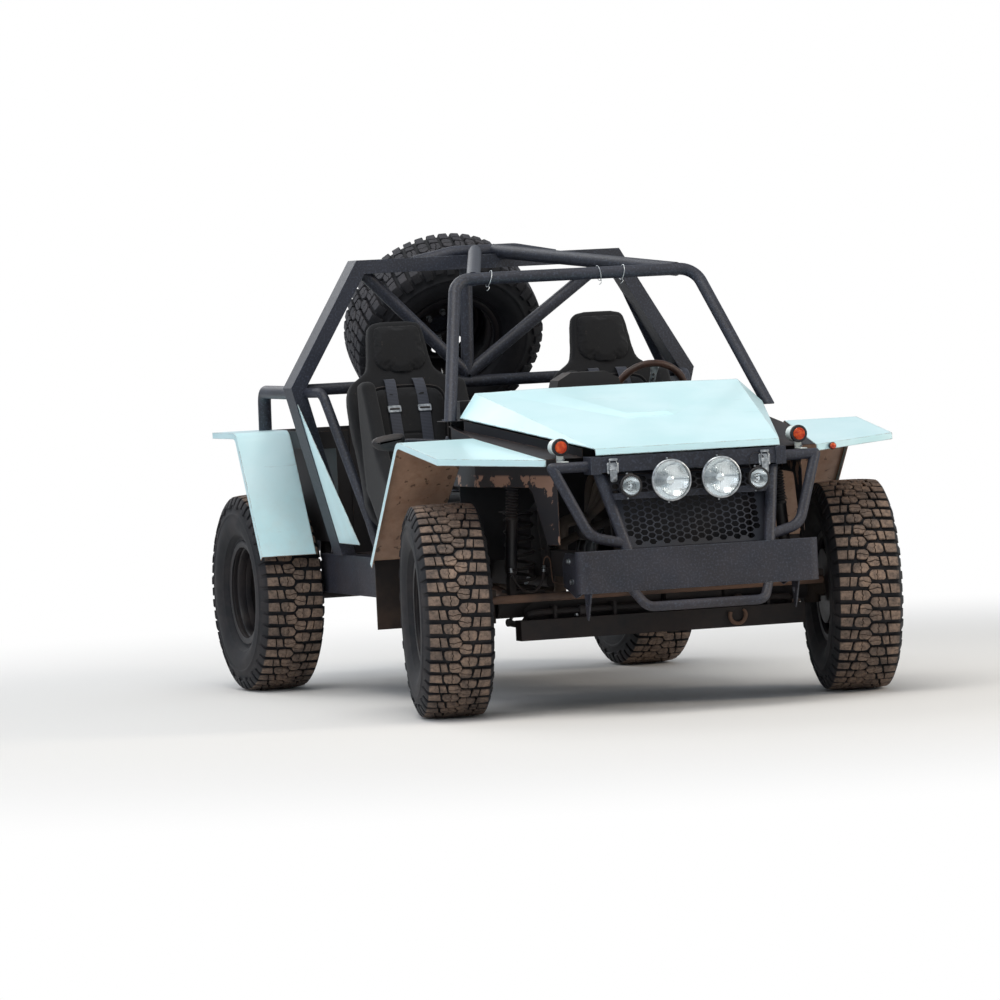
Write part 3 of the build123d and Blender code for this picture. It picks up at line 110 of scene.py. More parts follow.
# Paints and moulded surfaces. edge: the tone along sharp edges (rubbed-through paint on many, a painted highlight on
# the powder coat), how much of it, how wide in millimetres.
# dust: its tone, the height in metres that it starts at, the depth it thickens over, how much low down and on top
paints = {
    "texturedPowderCoat": {     # baked polyester powder with a pimpled skin: charcoal blue, with a painted pale highlight along its edges
        "tones": ("#1d1f28", "#282b36"), "roughness": 0.5, "grainMm": 4, "bump": 0.6, "speck": ("#525a6c", 0.4),
        # the pale edge tone stands for light caught by the frame's edges: a painted highlight
        "edge": ("#8c9aa8", 0.55, 2.5),
        "dust": ("#6b574b", 0.95, 0.7, 0.16, 0.05)},
    # sprayed two-pack enamel: pale ice blue and glossy, grey scuffs, brown with thrown mud underneath
    "iceEnamel": {
        "tones": ("#dbfaff", "#cff4f9"), "roughness": 0.3, "grainMm": 12, "bump": 0.03,
        "sockets": {"Coat Weight": 0.3, "Coat Roughness": 0.1}, "scratch": 0.4, "mud": ("#b8967f", "#866a5b"),
        "edge": ("#8f6a55", 0.85, 6), "dust": ("#c9a084", 1.05, 0.6, 0.25, 0.0)},
    "blackSheetPaint": {        # satin black on folded sheet: flaked to brown primer at its lower edges
        "tones": ("#0f1016", "#1a1b22"), "roughness": 0.6, "grainMm": 14, "bump": 0.15,
        "edge": ("#6a5142", 0.8, 4),
        "dust": ("#4b3f39", 1.25, 0.9, 0.3, 0.25)},
    "flakedSheetPaint": {       # the same black where stones have flaked it off to tan primer
        "tones": ("#0f1016", "#1b1b22"), "roughness": 0.6, "grainMm": 14, "bump": 0.2,
        "flake": ("#a07c68", 0.90, 0.945), "edge": ("#8a6a57", 0.8, 4),
        "dust": ("#4b3f39", 1.25, 0.9, 0.3, 0.25)},
    "meshPaint": {      # dipped black on expanded mesh, pale blue-grey along its strands' edges
        "tones": ("#1b1e26", "#2a2e39"), "roughness": 0.45, "grainMm": 6, "bump": 0.1,
        "edge": ("#77808f", 0.75, 1.5),
        "dust": ("#4b413b", 1.2, 0.8, 0.2, 0.15)},
    "chassisPaint": {   # brushed-on chassis black under dried mud
        "tones": ("#101014", "#1c1a1c"), "roughness": 0.75, "grainMm": 10, "bump": 0.5,
        "edge": ("#4a3a32", 0.4, 3),
        "dust": ("#4c3d35", 0.8, 0.5, 0.35, 0.4)},
    "dustyRodSteel": {  # bright drawn bar gone brown with rust and road dust
        "tones": ("#3d2e27", "#664b3b"), "roughness": 0.7, "grainMm": 5, "bump": 0.4,
        "edge": ("#9b8476", 0.3, 1),
        "dust": ("#8d6f5b", 0.7, 0.4, 0.3, 0.3)},
    "rimEnamel": {      # stoved black on pressed steel, a worn lip
        "tones": ("#0d0e13", "#16171d"), "roughness": 0.4, "grainMm": 6, "bump": 0.06,
        "edge": ("#5b616c", 0.5, 2),
        "dust": ("#4b3d36", 1.5, 1.0, 0.30, 0.2)},
    "castIron": {       # sand-cast iron: a rough skin, dark with a brown bloom
        "tones": ("#1d1b1c", "#33281f"), "roughness": 0.8, "grainMm": 5, "bump": 0.6,
        "edge": ("#5c4435", 0.4, 2),
        "dust": ("#4e4038", 0.8, 0.5, 0.35, 0.35)},
    "castAluminium": {      # sand-cast aluminium: pale grey metal with a dull, pitted skin
        "tones": ("#85888b", "#b0b3b4"), "roughness": 0.5, "sockets": {"Metallic": 1.0}, "grainMm": 3, "bump": 0.5,
        "edge": ("#d5d8d9", 0.5, 2),
        "dust": ("#5d5048", 1.1, 0.6, 0.3, 0.3)},
    "grainedAbs": {     # moulded ABS with a leather grain
        "tones": ("#121317", "#1b1c21"), "roughness": 0.55, "grainMm": 4, "bump": 0.3,
        "edge": ("#3b3e46", 0.3, 2),
        "dust": ("#6b584b", 1.6, 1.0, 0.1, 0.25)},
    "sheetRubber": {    # calendered rubber sheet, scuffed and streaked tan
        "tones": ("#0f0f13", "#191719"), "roughness": 0.75, "grainMm": 4, "bump": 0.3,
        "edge": ("#3a3431", 0.4, 2),
        "dust": ("#7d604b", 0.7, 0.4, 0.28, 0.1)},
    "bootRubber": {     # moulded bellows rubber, bluish black
        "tones": ("#0e0f14", "#191a20"), "roughness": 0.6, "grainMm": 5, "bump": 0.15,
        "edge": ("#3a3c44", 0.5, 2),
        "dust": ("#5b4a3f", 1.0, 0.6, 0.45, 0.3)},
    "whitePolypropylene": {     # moulded lamp body, yellowed a little
        "tones": ("#e6efec", "#d3dedb"), "roughness": 0.35, "grainMm": 6, "bump": 0.03,
        "edge": ("#f4fbf9", 0.2, 1),
        "dust": ("#b08c72", 1.3, 0.6, 0.35, 0.1)},
    "aluminisedSteel": {    # exhaust tube: grey, burnt brown and rusted
        "tones": ("#4a443f", "#6b5a4d"), "roughness": 0.55, "grainMm": 9, "bump": 0.25,
        "edge": ("#8a7a6c", 0.3, 2),
        "dust": ("#6b5344", 0.8, 0.5, 0.5, 0.3)},
}

# The bonnet's underside is kept clean of the wheels' mud
paints["bonnetEnamel"] = {key: value for key, value in paints["iceEnamel"].items() if key != "mud"}


def makePaint(name):
    spec = paints[name]
    material, tree, shader, place = freshMaterial(name, {"Roughness": spec["roughness"], **spec.get("sockets", {})})
    edge, edgeAmount, edgeMm = spec["edge"]
    dust, dustTop, dustFade, dustLow, dustOnTop = spec["dust"]
    geometry = addNode(tree, "NewGeometry")
    facing = addNode(tree, "SeparateXYZ", links={0: geometry.outputs["True Normal"]})
    cloud = addNode(tree, "TexNoise", {"Scale": cycles(130), "Detail": 6}, {"Vector": place})
    body = addNode(tree, "ValToRGB", {"stops": [(0.35, spec["tones"][0]), (0.65, spec["tones"][1])]}, {0: cloud})
    grain = addNode(tree, "TexNoise", {"Scale": cycles(spec["grainMm"]), "Detail": 3}, {"Vector": place})
    if "speck" in spec:     # pale pimples, drawn coarser than the real 1 mm so that they show
        spots = addNode(tree, "ValToRGB", {"stops": [(0.5, 0.0), (0.72, spec["speck"][1])]}, {0: grain})
        body = addNode(tree, "Mix", {7: spec["speck"][0]}, {0: spots, 6: body})
    if "scratch" in spec:       # long grey scuffs across the panel
        spread = addNode(tree, "Mapping", {"Scale": (3.0, 26.0, 40.0), "Rotation": (0.3, 0.2, 0.5)},
                         {"Vector": place})
        streak = addNode(tree, "TexNoise", {"Scale": 1.0, "Detail": 5, "Roughness": 0.65}, {"Vector": spread})
        scuff = addNode(tree, "ValToRGB", {"stops": [(0.66, 0.0), (0.74, spec["scratch"])]}, {0: streak})
        body = addNode(tree, "Mix", {7: "#9fb3b6"}, {0: scuff, 6: body})
    # Sharp edges take the edge tone in noisy patches: rubbed-through paint on many finishes, a painted highlight on
    # the powder coat.
    bevel = addNode(tree, "Bevel", {"samples": 4, "Radius": edgeMm * mm})
    bend = addNode(tree, "VectorMath", {"operation": "DOT_PRODUCT"}, {0: bevel, 1: geometry.outputs["Normal"]})
    sharp = addNode(tree, "MapRange", {"From Min": 0.995, "From Max": 0.86, "To Max": edgeAmount},
                    {0: bend.outputs["Value"]})
    breakupNoise = addNode(tree, "TexNoise", {"Scale": cycles(22), "Detail": 6, "Roughness": 0.6}, {"Vector": place})
    edgePatches = addNode(tree, "ValToRGB", {"stops": [(0.42, 0.1), (0.6, 1.0)]}, {0: breakupNoise})
    edgeWearAndHighlight = addNode(tree, "Math", {"operation": "MULTIPLY"}, {0: sharp, 1: edgePatches})
    body = addNode(tree, "Mix", {7: edge}, {0: edgeWearAndHighlight, 6: body})
    height = addNode(tree, "SeparateXYZ", links={0: place}).outputs["Z"]
    if "flake" in spec:     # torn patches, most of them between the two heights, none above the second
        tone, low, high = spec["flake"]
        torn = addNode(tree, "TexNoise", {"Scale": cycles(48), "Detail": 7, "Roughness": 0.6}, {"Vector": place})
        fewer = addNode(tree, "MapRange", {"From Min": low, "From Max": low - 0.01, "To Max": 0.07}, {0: height})
        torn = addNode(tree, "Math", {"operation": "SUBTRACT"}, {0: torn, 1: fewer})
        patch = addNode(tree, "ValToRGB", {"stops": [(0.53, 0.0), (0.55, 1.0)]}, {0: torn})
        under = addNode(tree, "MapRange", {"From Min": high, "From Max": high - 0.008}, {0: height})
        patch = addNode(tree, "Math", {"operation": "MULTIPLY"}, {0: patch, 1: under})
        body = addNode(tree, "Mix", {7: tone}, {0: patch, 6: body})
    # dust: more of it low down and on faces that look up
    low = addNode(tree, "MapRange", {"From Min": dustTop, "From Max": dustTop - dustFade, "To Max": dustLow},
                  {0: height})
    upward = addNode(tree, "MapRange", {"From Min": 0.1, "From Max": 1.0, "To Max": dustOnTop},
                     {0: facing.outputs["Z"]})
    settled = addNode(tree, "Math", {"operation": "ADD", "use_clamp": True}, {0: low, 1: upward})
    drift = addNode(tree, "TexNoise", {"Scale": cycles(70), "Detail": 8, "Roughness": 0.65}, {"Vector": place})
    patch = addNode(tree, "ValToRGB", {"stops": [(0.36, 0.1), (0.66, 1.0)]}, {0: drift})
    dusty = addNode(tree, "Math", {"operation": "MULTIPLY"}, {0: settled, 1: patch})
    if "mud" in spec:       # faces that look down at the wheels are brown, with dark splatter
        hidden = addNode(tree, "MapRange", {"From Min": -0.25, "From Max": -0.4}, {0: facing.outputs["Z"]})
        film = addNode(tree, "ValToRGB", {"stops": [(0.35, spec["mud"][0]), (0.7, spec["mud"][1])]}, {0: drift})
        rust = addNode(tree, "ValToRGB", {"stops": [(0.5, 0.0), (0.75, 0.6)]}, {0: breakupNoise})
        film = addNode(tree, "Mix", {7: "#7b4c36"}, {0: rust, 6: film})
        splash = addNode(tree, "TexNoise", {"Scale": cycles(16), "Detail": 2, "Roughness": 0.4}, {"Vector": place})
        drop = addNode(tree, "ValToRGB", {"stops": [(0.655, 0.0), (0.675, 0.9)]}, {0: splash})
        film = addNode(tree, "Mix", {7: "#241c19"}, {0: drop, 6: film})
        body = addNode(tree, "Mix", None, {0: hidden, 6: body, 7: film})
        matt = addNode(tree, "Math", {"operation": "MULTIPLY", 1: 0.25}, {0: hidden})
        dusty = addNode(tree, "Math", {"operation": "MAXIMUM"}, {0: dusty, 1: matt})
    body = addNode(tree, "Mix", {7: dust}, {0: dusty, 6: body})
    dull = addNode(tree, "MapRange", {"To Min": spec["roughness"], "To Max": 0.95}, {0: dusty})
    bump = addNode(tree, "Bump", {"Strength": spec["bump"], "Distance": 0.001}, {"Height": grain, "Normal": bevel})
    link(shader, {"Base Color": body, "Roughness": dull, "Normal": bump})
    return material


# Finishes with a pattern for tone and, where its kind is given, another for relief: kind, settings, strength, depth
plainFinishes = {
    "zincPlate": {      # zinc-plated pressed steel: bright, cloudy, softly mirrored
        "sockets": {"Roughness": 0.3, "Metallic": 1.0}, "pattern": ("TexNoise", {"Scale": cycles(9), "Detail": 5}),
        "stops": [(0.3, "#8b8f93"), (0.7, "#dfe3e5")], "rough": (0.18, 0.5), "edge": 0.001},
    "vacuumChrome": {       # vacuum-plated lamp reflector: a clean mirror with faint ripples
        "sockets": {"Roughness": 0.07, "Metallic": 1.0}, "pattern": ("TexNoise", {"Scale": cycles(25), "Detail": 2}),
        "stops": [(0.3, "#dfe4e6"), (0.7, "#f6f8f9")], "relief": (None, None, 0.12, 0.004)},
    "flutedGlass": {        # pressed soda glass with vertical flutes 7 mm apart
        "sockets": {"Roughness": 0.02, "Base Color": "#fafdfe", "Transmission Weight": 1.0},
        "pattern": ("TexWave", {"bands_direction": "X", "Scale": bandScale(7)}), "relief": (None, None, 0.25, 0.001)},
    "amberAcrylic": {       # moulded amber acrylic: deep orange with a glow under its skin
        "sockets": {"Roughness": 0.12, "IOR": 1.49, "Subsurface Weight": 0.25,
                    "Subsurface Radius": (0.01, 0.003, 0.001)},
        "pattern": ("TexNoise", {"Scale": cycles(9), "Detail": 3}), "stops": [(0.35, "#b02c10"), (0.7, "#e4622c")]},
    "knittedCloth": {       # polyester knit over foam: black, dry, linty; 4 mm loops, twice the real ones
        "sockets": {"Roughness": 0.9, "Sheen Weight": 0.08, "Sheen Roughness": 0.45},
        "pattern": ("TexNoise", {"Scale": cycles(60), "Detail": 6}), "stops": [(0.35, "#060609"), (0.7, "#0e0f13")],
        "lint": "#4a403b", "relief": ("TexVoronoi", {"Scale": 1000 / 4}, 0.6, 0.001)},
    "polyesterWebbing": {       # woven polyester belt: charcoal, its 3 mm ribs drawn 6 mm apart so that they show
        "sockets": {"Roughness": 0.7, "Sheen Weight": 0.2},
        "pattern": ("TexWave", {"bands_direction": "Z", "Scale": bandScale(6), "Distortion": 0.3}),
        "stops": [(0.2, "#1d2029"), (0.8, "#343947")], "relief": (None, None, 0.4, 0.0006)},
    "hideLeather": {        # brown stitched leather, polished where hands hold it
        "sockets": {"Roughness": 0.42}, "pattern": ("TexNoise", {"Scale": cycles(30), "Detail": 5}),
        "stops": [(0.3, "#24150e"), (0.7, "#4c2f21")], "rough": (0.3, 0.6),
        "relief": ("TexVoronoi", {"Scale": 1000 / 3}, 0.35, 0.0005)},
    "dialPaper": {      # printed dial: matt black
        "sockets": {"Roughness": 0.6}, "pattern": ("TexNoise", {"Scale": cycles(12), "Detail": 3}),
        "stops": [(0.3, "#0b0c0e"), (0.7, "#15171a")]}}


def makePlainFinish(name):
    spec = plainFinishes[name]
    material, tree, shader, place = freshMaterial(name, spec["sockets"])
    pattern = addNode(tree, *spec["pattern"], {"Vector": place})
    if "stops" in spec:
        body = addNode(tree, "ValToRGB", {"stops": spec["stops"]}, {0: pattern})
        if "lint" in spec:
            specks = addNode(tree, "TexNoise", {"Scale": cycles(5), "Detail": 2}, {"Vector": place})
            lint = addNode(tree, "ValToRGB", {"stops": [(0.68, 0.0), (0.8, 0.5)]}, {0: specks})
            body = addNode(tree, "Mix", {7: spec["lint"]}, {0: lint, 6: body})
        link(shader, {"Base Color": body})
    if "rough" in spec:
        low, high = spec["rough"]
        link(shader, {"Roughness": addNode(tree, "MapRange", {"To Min": low, "To Max": high}, {0: pattern})})
    if "relief" in spec:
        kind, settings, strength, depth = spec["relief"]
        height = addNode(tree, kind, settings, {"Vector": place}) if kind else pattern
        bump = addNode(tree, "Bump", {"Strength": strength, "Distance": depth}, {"Height": height})
        link(shader, {"Normal": bump})
    if "edge" in spec:
        link(shader, {"Normal": addNode(tree, "Bevel", {"samples": 4, "Radius": spec["edge"]})})
    return material


tyreRubbers = {     # carbon-black rubber: bluish black, and how much dry tan dust its lugs carry
    "tyreRubber": {"tones": ("#0b0c11", "#171920"), "dust": ("#64564d", "#98806e"), "faceDust": 1.0, "sideDust": 0.3},
    "spareRubber": {"tones": ("#0d0e13", "#191b22"), "dust": ("#4a4a52", "#5d5a5e"), "faceDust": 0.35,
                    "sideDust": 0.12}}


# The lugs' dusty faces, in metres from the axle and from the tyre's middle: where the dust starts and is full
lugFace = {"radius": (0.4125, 0.4165), "half": (0.126, 0.117)}


def makeTyreRubber(name):
    spec = tyreRubbers[name]
    material, tree, shader, place = freshMaterial(name, {"Roughness": 0.75})
    parts = addNode(tree, "SeparateXYZ", links={0: place})
    spoke = addNode(tree, "CombineXYZ", links={"Y": parts.outputs["Y"], "Z": parts.outputs["Z"]})
    radius = addNode(tree, "VectorMath", {"operation": "LENGTH"}, {0: spoke}).outputs["Value"]
    offside = addNode(tree, "Math", {"operation": "ABSOLUTE"}, {0: parts.outputs["X"]})
    cloud = addNode(tree, "TexNoise", {"Scale": cycles(60), "Detail": 7, "Roughness": 0.6}, {"Vector": place})
    body = addNode(tree, "ValToRGB", {"stops": [(0.3, spec["tones"][0]), (0.7, spec["tones"][1])]}, {0: cloud})
    face = addNode(tree, "MapRange", {"From Min": lugFace["radius"][0], "From Max": lugFace["radius"][1],
                                      "To Max": spec["faceDust"]}, {0: radius})
    across = addNode(tree, "MapRange", {"From Min": lugFace["half"][0], "From Max": lugFace["half"][1]}, {0: offside})
    speck = addNode(tree, "TexNoise", {"Scale": cycles(7), "Detail": 5, "Roughness": 0.7}, {"Vector": place})
    cover = addNode(tree, "ValToRGB", {"stops": [(0.34, 0.35), (0.58, 1.0)]}, {0: speck})
    faceDust = addNode(tree, "Math", {"operation": "MULTIPLY"}, {0: face, 1: across})
    faceDust = addNode(tree, "Math", {"operation": "MULTIPLY"}, {0: faceDust, 1: cover})
    tan = addNode(tree, "ValToRGB", {"stops": [(0.35, spec["dust"][0]), (0.66, spec["dust"][1])]}, {0: cloud})
    film = addNode(tree, "ValToRGB", {"stops": [(0.45, 0.0), (0.8, spec["sideDust"])]}, {0: cloud})
    body = addNode(tree, "Mix", {7: "#54463e"}, {0: film, 6: body})
    body = addNode(tree, "Mix", None, {0: faceDust, 6: body, 7: tan})
    link(shader, {"Base Color": body})
    bevel = addNode(tree, "Bevel", {"samples": 4, "Radius": 0.0015})
    bump = addNode(tree, "Bump", {"Strength": 0.4, "Distance": 0.001}, {"Height": speck, "Normal": bevel})
    link(shader, {"Normal": bump})
    return material


materials = {name: makePaint(name) for name in paints}
materials.update({name: makeTyreRubber(name) for name in tyreRubbers})
materials.update({name: makePlainFinish(name) for name in plainFinishes})

# What each CAD node wears: by its own name, or else by its slot in the record
nodeFinish = {"tie_rod": "dustyRodSteel",
              "suspension_links": "dustyRodSteel", "exhaust": "aluminisedSteel", "spare_tyre": "spareRubber",
              "steering_column": "blackSheetPaint", "grille": "meshPaint", "radiator": "blackSheetPaint",
              "inner_wings": "flakedSheetPaint", "bonnet": "bonnetEnamel"}
slotFinish = {"frame_paint": "texturedPowderCoat", "body_paint": "iceEnamel", "dark_panel": "blackSheetPaint",
              "underbody": "chassisPaint", "worn_steel": "zincPlate", "cast": "castIron", "chrome": "vacuumChrome",
              "clear_glass": "flutedGlass", "amber": "amberAcrylic", "white_plastic": "whitePolypropylene",
              "black_plastic": "grainedAbs", "rim_paint": "rimEnamel", "tyre_rubber": "tyreRubber",
              "flap_rubber": "sheetRubber", "seat_cloth": "knittedCloth", "grip_leather": "hideLeather"}
for part in frame["record"]["subparts"]:
    node = nodes[part["node"]]
    node.data.materials.clear()
    node.data.materials.append(materials[nodeFinish.get(part["node"], slotFinish[part["material_slot"]])])
print("materials ready,", len(materials))

# Camera, backdrop, floor and lights
view = {"azimuth": -18.952, "elevation": 1.986, "roll": -2.816, "distance": 26.852, "focalPx": 6450.0,
        "target": Vector((0, 0, 0.8)), "middlePx": (547.69, 497.58), "framePx": 1000}
studio = {"skyStrength": 0.56, "sky": "#dde6f0", "floor": "#e6e4e1", "floorFade": (2.6, 6.5),
          "lamps": {"overhead": ((-1.5, -2.5, 7.5), (0, 0, 0.6), 5.0, 300, "#fffaf2"),
                    "leftSky": ((-8.0, -3.0, 4.5), (0, 0, 0.9), 5.0, 120, "#eef4ff"),
                    "rightSun": ((6.5, -5.0, 4.0), (0, 0, 0.7), 2.5, 215, "#fff1de"),
                    "behind": ((-2.0, 7.0, 6.0), (0, 0, 1.2), 5.0, 260, "#ffffff")}}


def setCamera():
    a, e, r = (radians(view[key]) for key in ("azimuth", "elevation", "roll"))
    back = Vector((sin(a) * cos(e), -cos(a) * cos(e), sin(e)))
    level = Vector((cos(a), sin(a), 0))
    above = back.cross(level)
    right = cos(r) * level + sin(r) * above
    top = -sin(r) * level + cos(r) * above
    place = view["target"] + back * view["distance"]
    dx = (view["framePx"] / 2 - view["middlePx"][0]) / view["focalPx"]
    dy = (view["middlePx"][1] - view["framePx"] / 2) / view["focalPx"]
    aim = (-back + dx * right + dy * top).normalized()      # the frame's middle, so no shift is needed
    right = aim.cross(top).normalized()
    top = right.cross(aim)
    data = bpy.data.cameras.new("photoCamera")
    data.sensor_width = 36
    data.lens = view["focalPx"] * data.sensor_width / view["framePx"]
    data.clip_end = 200
    camera = addObject("photoCamera", data)
    camera.matrix_world = Matrix(((right.x, top.x, -aim.x, place.x), (right.y, top.y, -aim.y, place.y),
                                  (right.z, top.z, -aim.z, place.z), (0, 0, 0, 1)))
    bpy.context.scene.camera = camera


def setStudio():
    world = bpy.data.worlds.new("studio")
    bpy.context.scene.world = world
    world.use_nodes = True
    tree = world.node_tree
    tree.nodes.clear()
    rays = addNode(tree, "LightPath")
    seen = addNode(tree, "Math", {"operation": "MAXIMUM"}, {0: rays.outputs["Is Camera Ray"],
                                                            1: rays.outputs["Is Transmission Ray"]})
    sky = addNode(tree, "Background", {"Color": linear(studio["sky"]), "Strength": studio["skyStrength"]})
    pale = addNode(tree, "Background", {"Color": (1, 1, 1, 1), "Strength": 1.0})
    mix = addNode(tree, "MixShader", links={0: seen, 1: sky, 2: pale})
    addNode(tree, "OutputWorld", links={"Surface": mix})
    bpy.ops.mesh.primitive_circle_add(vertices=96, radius=40, fill_type="NGON")
    floor = bpy.context.object
    floor.name = "studioFloor"
    material, tree, shader, place = freshMaterial("paleFloor", {"Roughness": 0.9, "Base Color": studio["floor"]})
    far = addNode(tree, "VectorMath", {"operation": "LENGTH"}, {0: place}).outputs["Value"]
    fade = addNode(tree, "MapRange", {"From Min": studio["floorFade"][0], "From Max": studio["floorFade"][1],
                                      "interpolation_type": "SMOOTHSTEP"}, {"Value": far})
    rays = addNode(tree, "LightPath")
    amount = addNode(tree, "Math", {"operation": "MULTIPLY"}, {0: fade, 1: rays.outputs["Is Camera Ray"]})
    glow = addNode(tree, "Emission", {"Color": (1, 1, 1, 1), "Strength": 1.0})
    mix = addNode(tree, "MixShader", links={0: amount, 1: shader, 2: glow})
    link(tree.nodes["Material Output"], {"Surface": mix})
    floor.data.materials.append(material)
    for name, (place, aim, size, watts, colour) in studio["lamps"].items():
        data = bpy.data.lights.new(name, "AREA")
        data.size = size
        data.energy = watts
        data.color = linear(colour)[:3]
        lamp = addObject(name, data)
        lamp.location = place
        lamp.rotation_euler = (Vector(aim) - Vector(place)).to_track_quat("-Z", "Y").to_euler()
    bpy.context.scene.view_settings.view_transform = "Standard"


setCamera()
setStudio()
print("camera and studio ready")


# Shapes are lists of millimetre points and faces; a piece is made of one or more of them
def blank():
    return {"points": [], "faces": [], "finish": []}


def put(shape, points, faces, place=None, finish=0):
    start = len(shape["points"])
    shape["points"] += [place @ Vector(p) if place else Vector(p) for p in points]
    shape["faces"] += [[start + i for i in face] for face in faces]
    shape["finish"] += [finish] * len(faces)


# (x, radius) pairs turned about the X axis
def turned(shape, profile, place=None, finish=0, count=48, ring=False):
    points, rings = [], []
    for x, r in profile:
        if r < 0.01:
            rings.append([len(points)] * count)
            points.append((x, 0, 0))
            continue
        rings.append([len(points) + i for i in range(count)])
        points += [(x, r * sin(i * tau / count), r * cos(i * tau / count)) for i in range(count)]
    faces = []
    for a, b in zip(rings, rings[1:] + (rings[:1] if ring else [])):
        for i in range(count):
            j = (i + 1) % count
            face = list(dict.fromkeys([a[i], a[j], b[j], b[i]]))
            if len(face) > 2:
                faces.append(face)
    put(shape, points, faces, place, finish)


def bentRod(shape, path, radius, place=None, finish=0, sides=12, loop=False):
    path = [Vector(p) for p in path]
    count = len(path)
    points, faces, across = [], [], None
    for i, spot in enumerate(path):
        ahead = path[(i + 1) % count] if loop or i < count - 1 else spot
        behind = path[i - 1] if loop or i else spot
        run = (ahead - behind).normalized()
        across = run.orthogonal().normalized() if across is None else (across - run * across.dot(run)).normalized()
        other = run.cross(across)
        r = radius[i] if isinstance(radius, list) else radius
        points += [spot + r * (cos(k * tau / sides) * across + sin(k * tau / sides) * other)
                   for k in range(sides)]
    for i in range(count if loop else count - 1):
        a, b = i * sides, (i + 1) % count * sides
        faces += [[a + k, a + (k + 1) % sides, b + (k + 1) % sides, b + k] for k in range(sides)]
    if not loop:
        faces += [list(range(sides)), [(count - 1) * sides + k for k in range(sides)]]
    put(shape, points, faces, place, finish)


def drawnIn(outline, amount):       # an anticlockwise outline, drawn in by an amount
    result = []
    for i, corner in enumerate(outline):
        a, b, c = Vector(outline[i - 1]), Vector(corner), Vector(outline[(i + 1) % len(outline)])
        first, second = (b - a).normalized(), (c - b).normalized()
        n1, n2 = Vector((-first.y, first.x)), Vector((-second.y, second.x))
        result.append(b + (n1 + n2) * amount / max(1 + n1.dot(n2), 0.3))
    return result


def plate(shape, outline, thickness, edge, place=None, finish=0):       # Z runs from 0 up to the thickness
    count = len(outline)
    rings = [(edge, 0), (0, edge), (0, thickness - edge), (edge, thickness)]
    points = [(p[0], p[1], z) for amount, z in rings for p in drawnIn(outline, amount)]
    faces = [[r * count + i, r * count + (i + 1) % count, (r + 1) * count + (i + 1) % count, (r + 1) * count + i]
             for r in range(3) for i in range(count)]
    put(shape, points, faces + [list(range(count)), [3 * count + i for i in range(count)]], place, finish)


def roundedBox(width, height, radius, steps=4):     # anticlockwise, about the middle
    outline = []
    for k, (sx, sy) in enumerate(((1, 1), (-1, 1), (-1, -1), (1, -1))):
        for i in range(steps + 1):
            a = (k + i / steps) * pi / 2
            outline.append((sx * (width / 2 - radius) + radius * cos(a),
                            sy * (height / 2 - radius) + radius * sin(a)))
    return outline


def hexHead(shape, place, width, height, finish=0):     # a bolt head or nut on its washer, standing along Z
    turned(shape, [(0, 0), (0, width * 0.68), (1.6, width * 0.68), (1.6, 0)], place @ alongZ, finish, 20)
    outline = [(width * 0.577 * cos(k * pi / 3), width * 0.577 * sin(k * pi / 3)) for k in range(6)]
    plate(shape, outline, height, width * 0.07, place @ Matrix.Translation((0, 0, 1.6)), finish)


def eased(points, steps=6, loop=False):     # points along a smooth line through the given ones
    points = [Vector(p) for p in points]
    count = len(points)
    result = []
    for i in range(count if loop else count - 1):
        b, c = points[i], points[(i + 1) % count]
        a = points[i - 1] if loop or i else b
        d = points[(i + 2) % count] if loop or i + 2 < count else c
        for k in range(steps):
            t = k / steps
            result.append(0.5 * (2 * b + (c - a) * t + (2 * a - 5 * b + 4 * c - d) * t ** 2
                                 + (3 * b - a - 3 * c + d) * t ** 3))
    return result if loop else result + [points[-1]]


def meshOf(shape, name):        # in metres, every face looking out
    mesh = bpy.data.meshes.new(name)
    mesh.from_pydata([tuple(p * mm) for p in shape["points"]], [], shape["faces"])
    mesh.polygons.foreach_set("material_index", shape["finish"])
    outward = bmesh.new()
    outward.from_mesh(mesh)
    bmesh.ops.recalc_face_normals(outward, faces=outward.faces)
    outward.to_mesh(mesh)
    outward.free()
    return mesh


def makePiece(name, shape, finishes, stands=(), place=None, crease=35, body="chassis"):
    mesh = shape if isinstance(shape, bpy.types.Mesh) else meshOf(shape, name)
    if mesh is not shape:
        for finish in finishes:
            mesh.materials.append(materials[finish])
        mesh.polygons.foreach_set("use_smooth", [True] * len(mesh.polygons))
        mesh.set_sharp_from_angle(angle=radians(crease))
    piece = addObject(name, mesh)
    if place:       # millimetres too
        piece.matrix_world = Matrix.Scale(mm, 4) @ place @ Matrix.Scale(1 / mm, 4)
    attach(piece, body)
    if stands:
        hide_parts(*stands)
    return piece


def rounded(outline, times=2):      # corners cut off a closed outline, again and again
    for _ in range(times):
        cut = []
        for i, p in enumerate(outline):
            p, q = Vector(p), Vector(outline[(i + 1) % len(outline)])
            cut += [p.lerp(q, 0.25), p.lerp(q, 0.75)]
        outline = cut
    return outline


def panel(shape, corners, thickness, finish=0):      # a flat sheet between (across, back, up) corners in one plane
    corners = [here(*p) for p in corners]
    a, b, c = corners[:3]
    x = (b - a).normalized()
    z = x.cross(c - a).normalized()
    y = z.cross(x)
    place = Matrix(((x.x, y.x, z.x, a.x), (x.y, y.y, z.y, a.y), (x.z, y.z, z.z, a.z), (0, 0, 0, 1)))
    plate(shape, [((p - a).dot(x), (p - a).dot(y)) for p in corners], thickness, thickness * 0.25, place, finish)


def at(x, back, z):
    return shiftTo(here(x, back, z))


def turnBy(degrees, axis):
    return Matrix.Rotation(radians(degrees), 4, axis)


def pipe(shape, points, steps, radius, finish=0, sides=12):     # through (across, back, up) points
    bentRod(shape, eased([here(*p) for p in points], steps), radius, finish=finish, sides=sides)


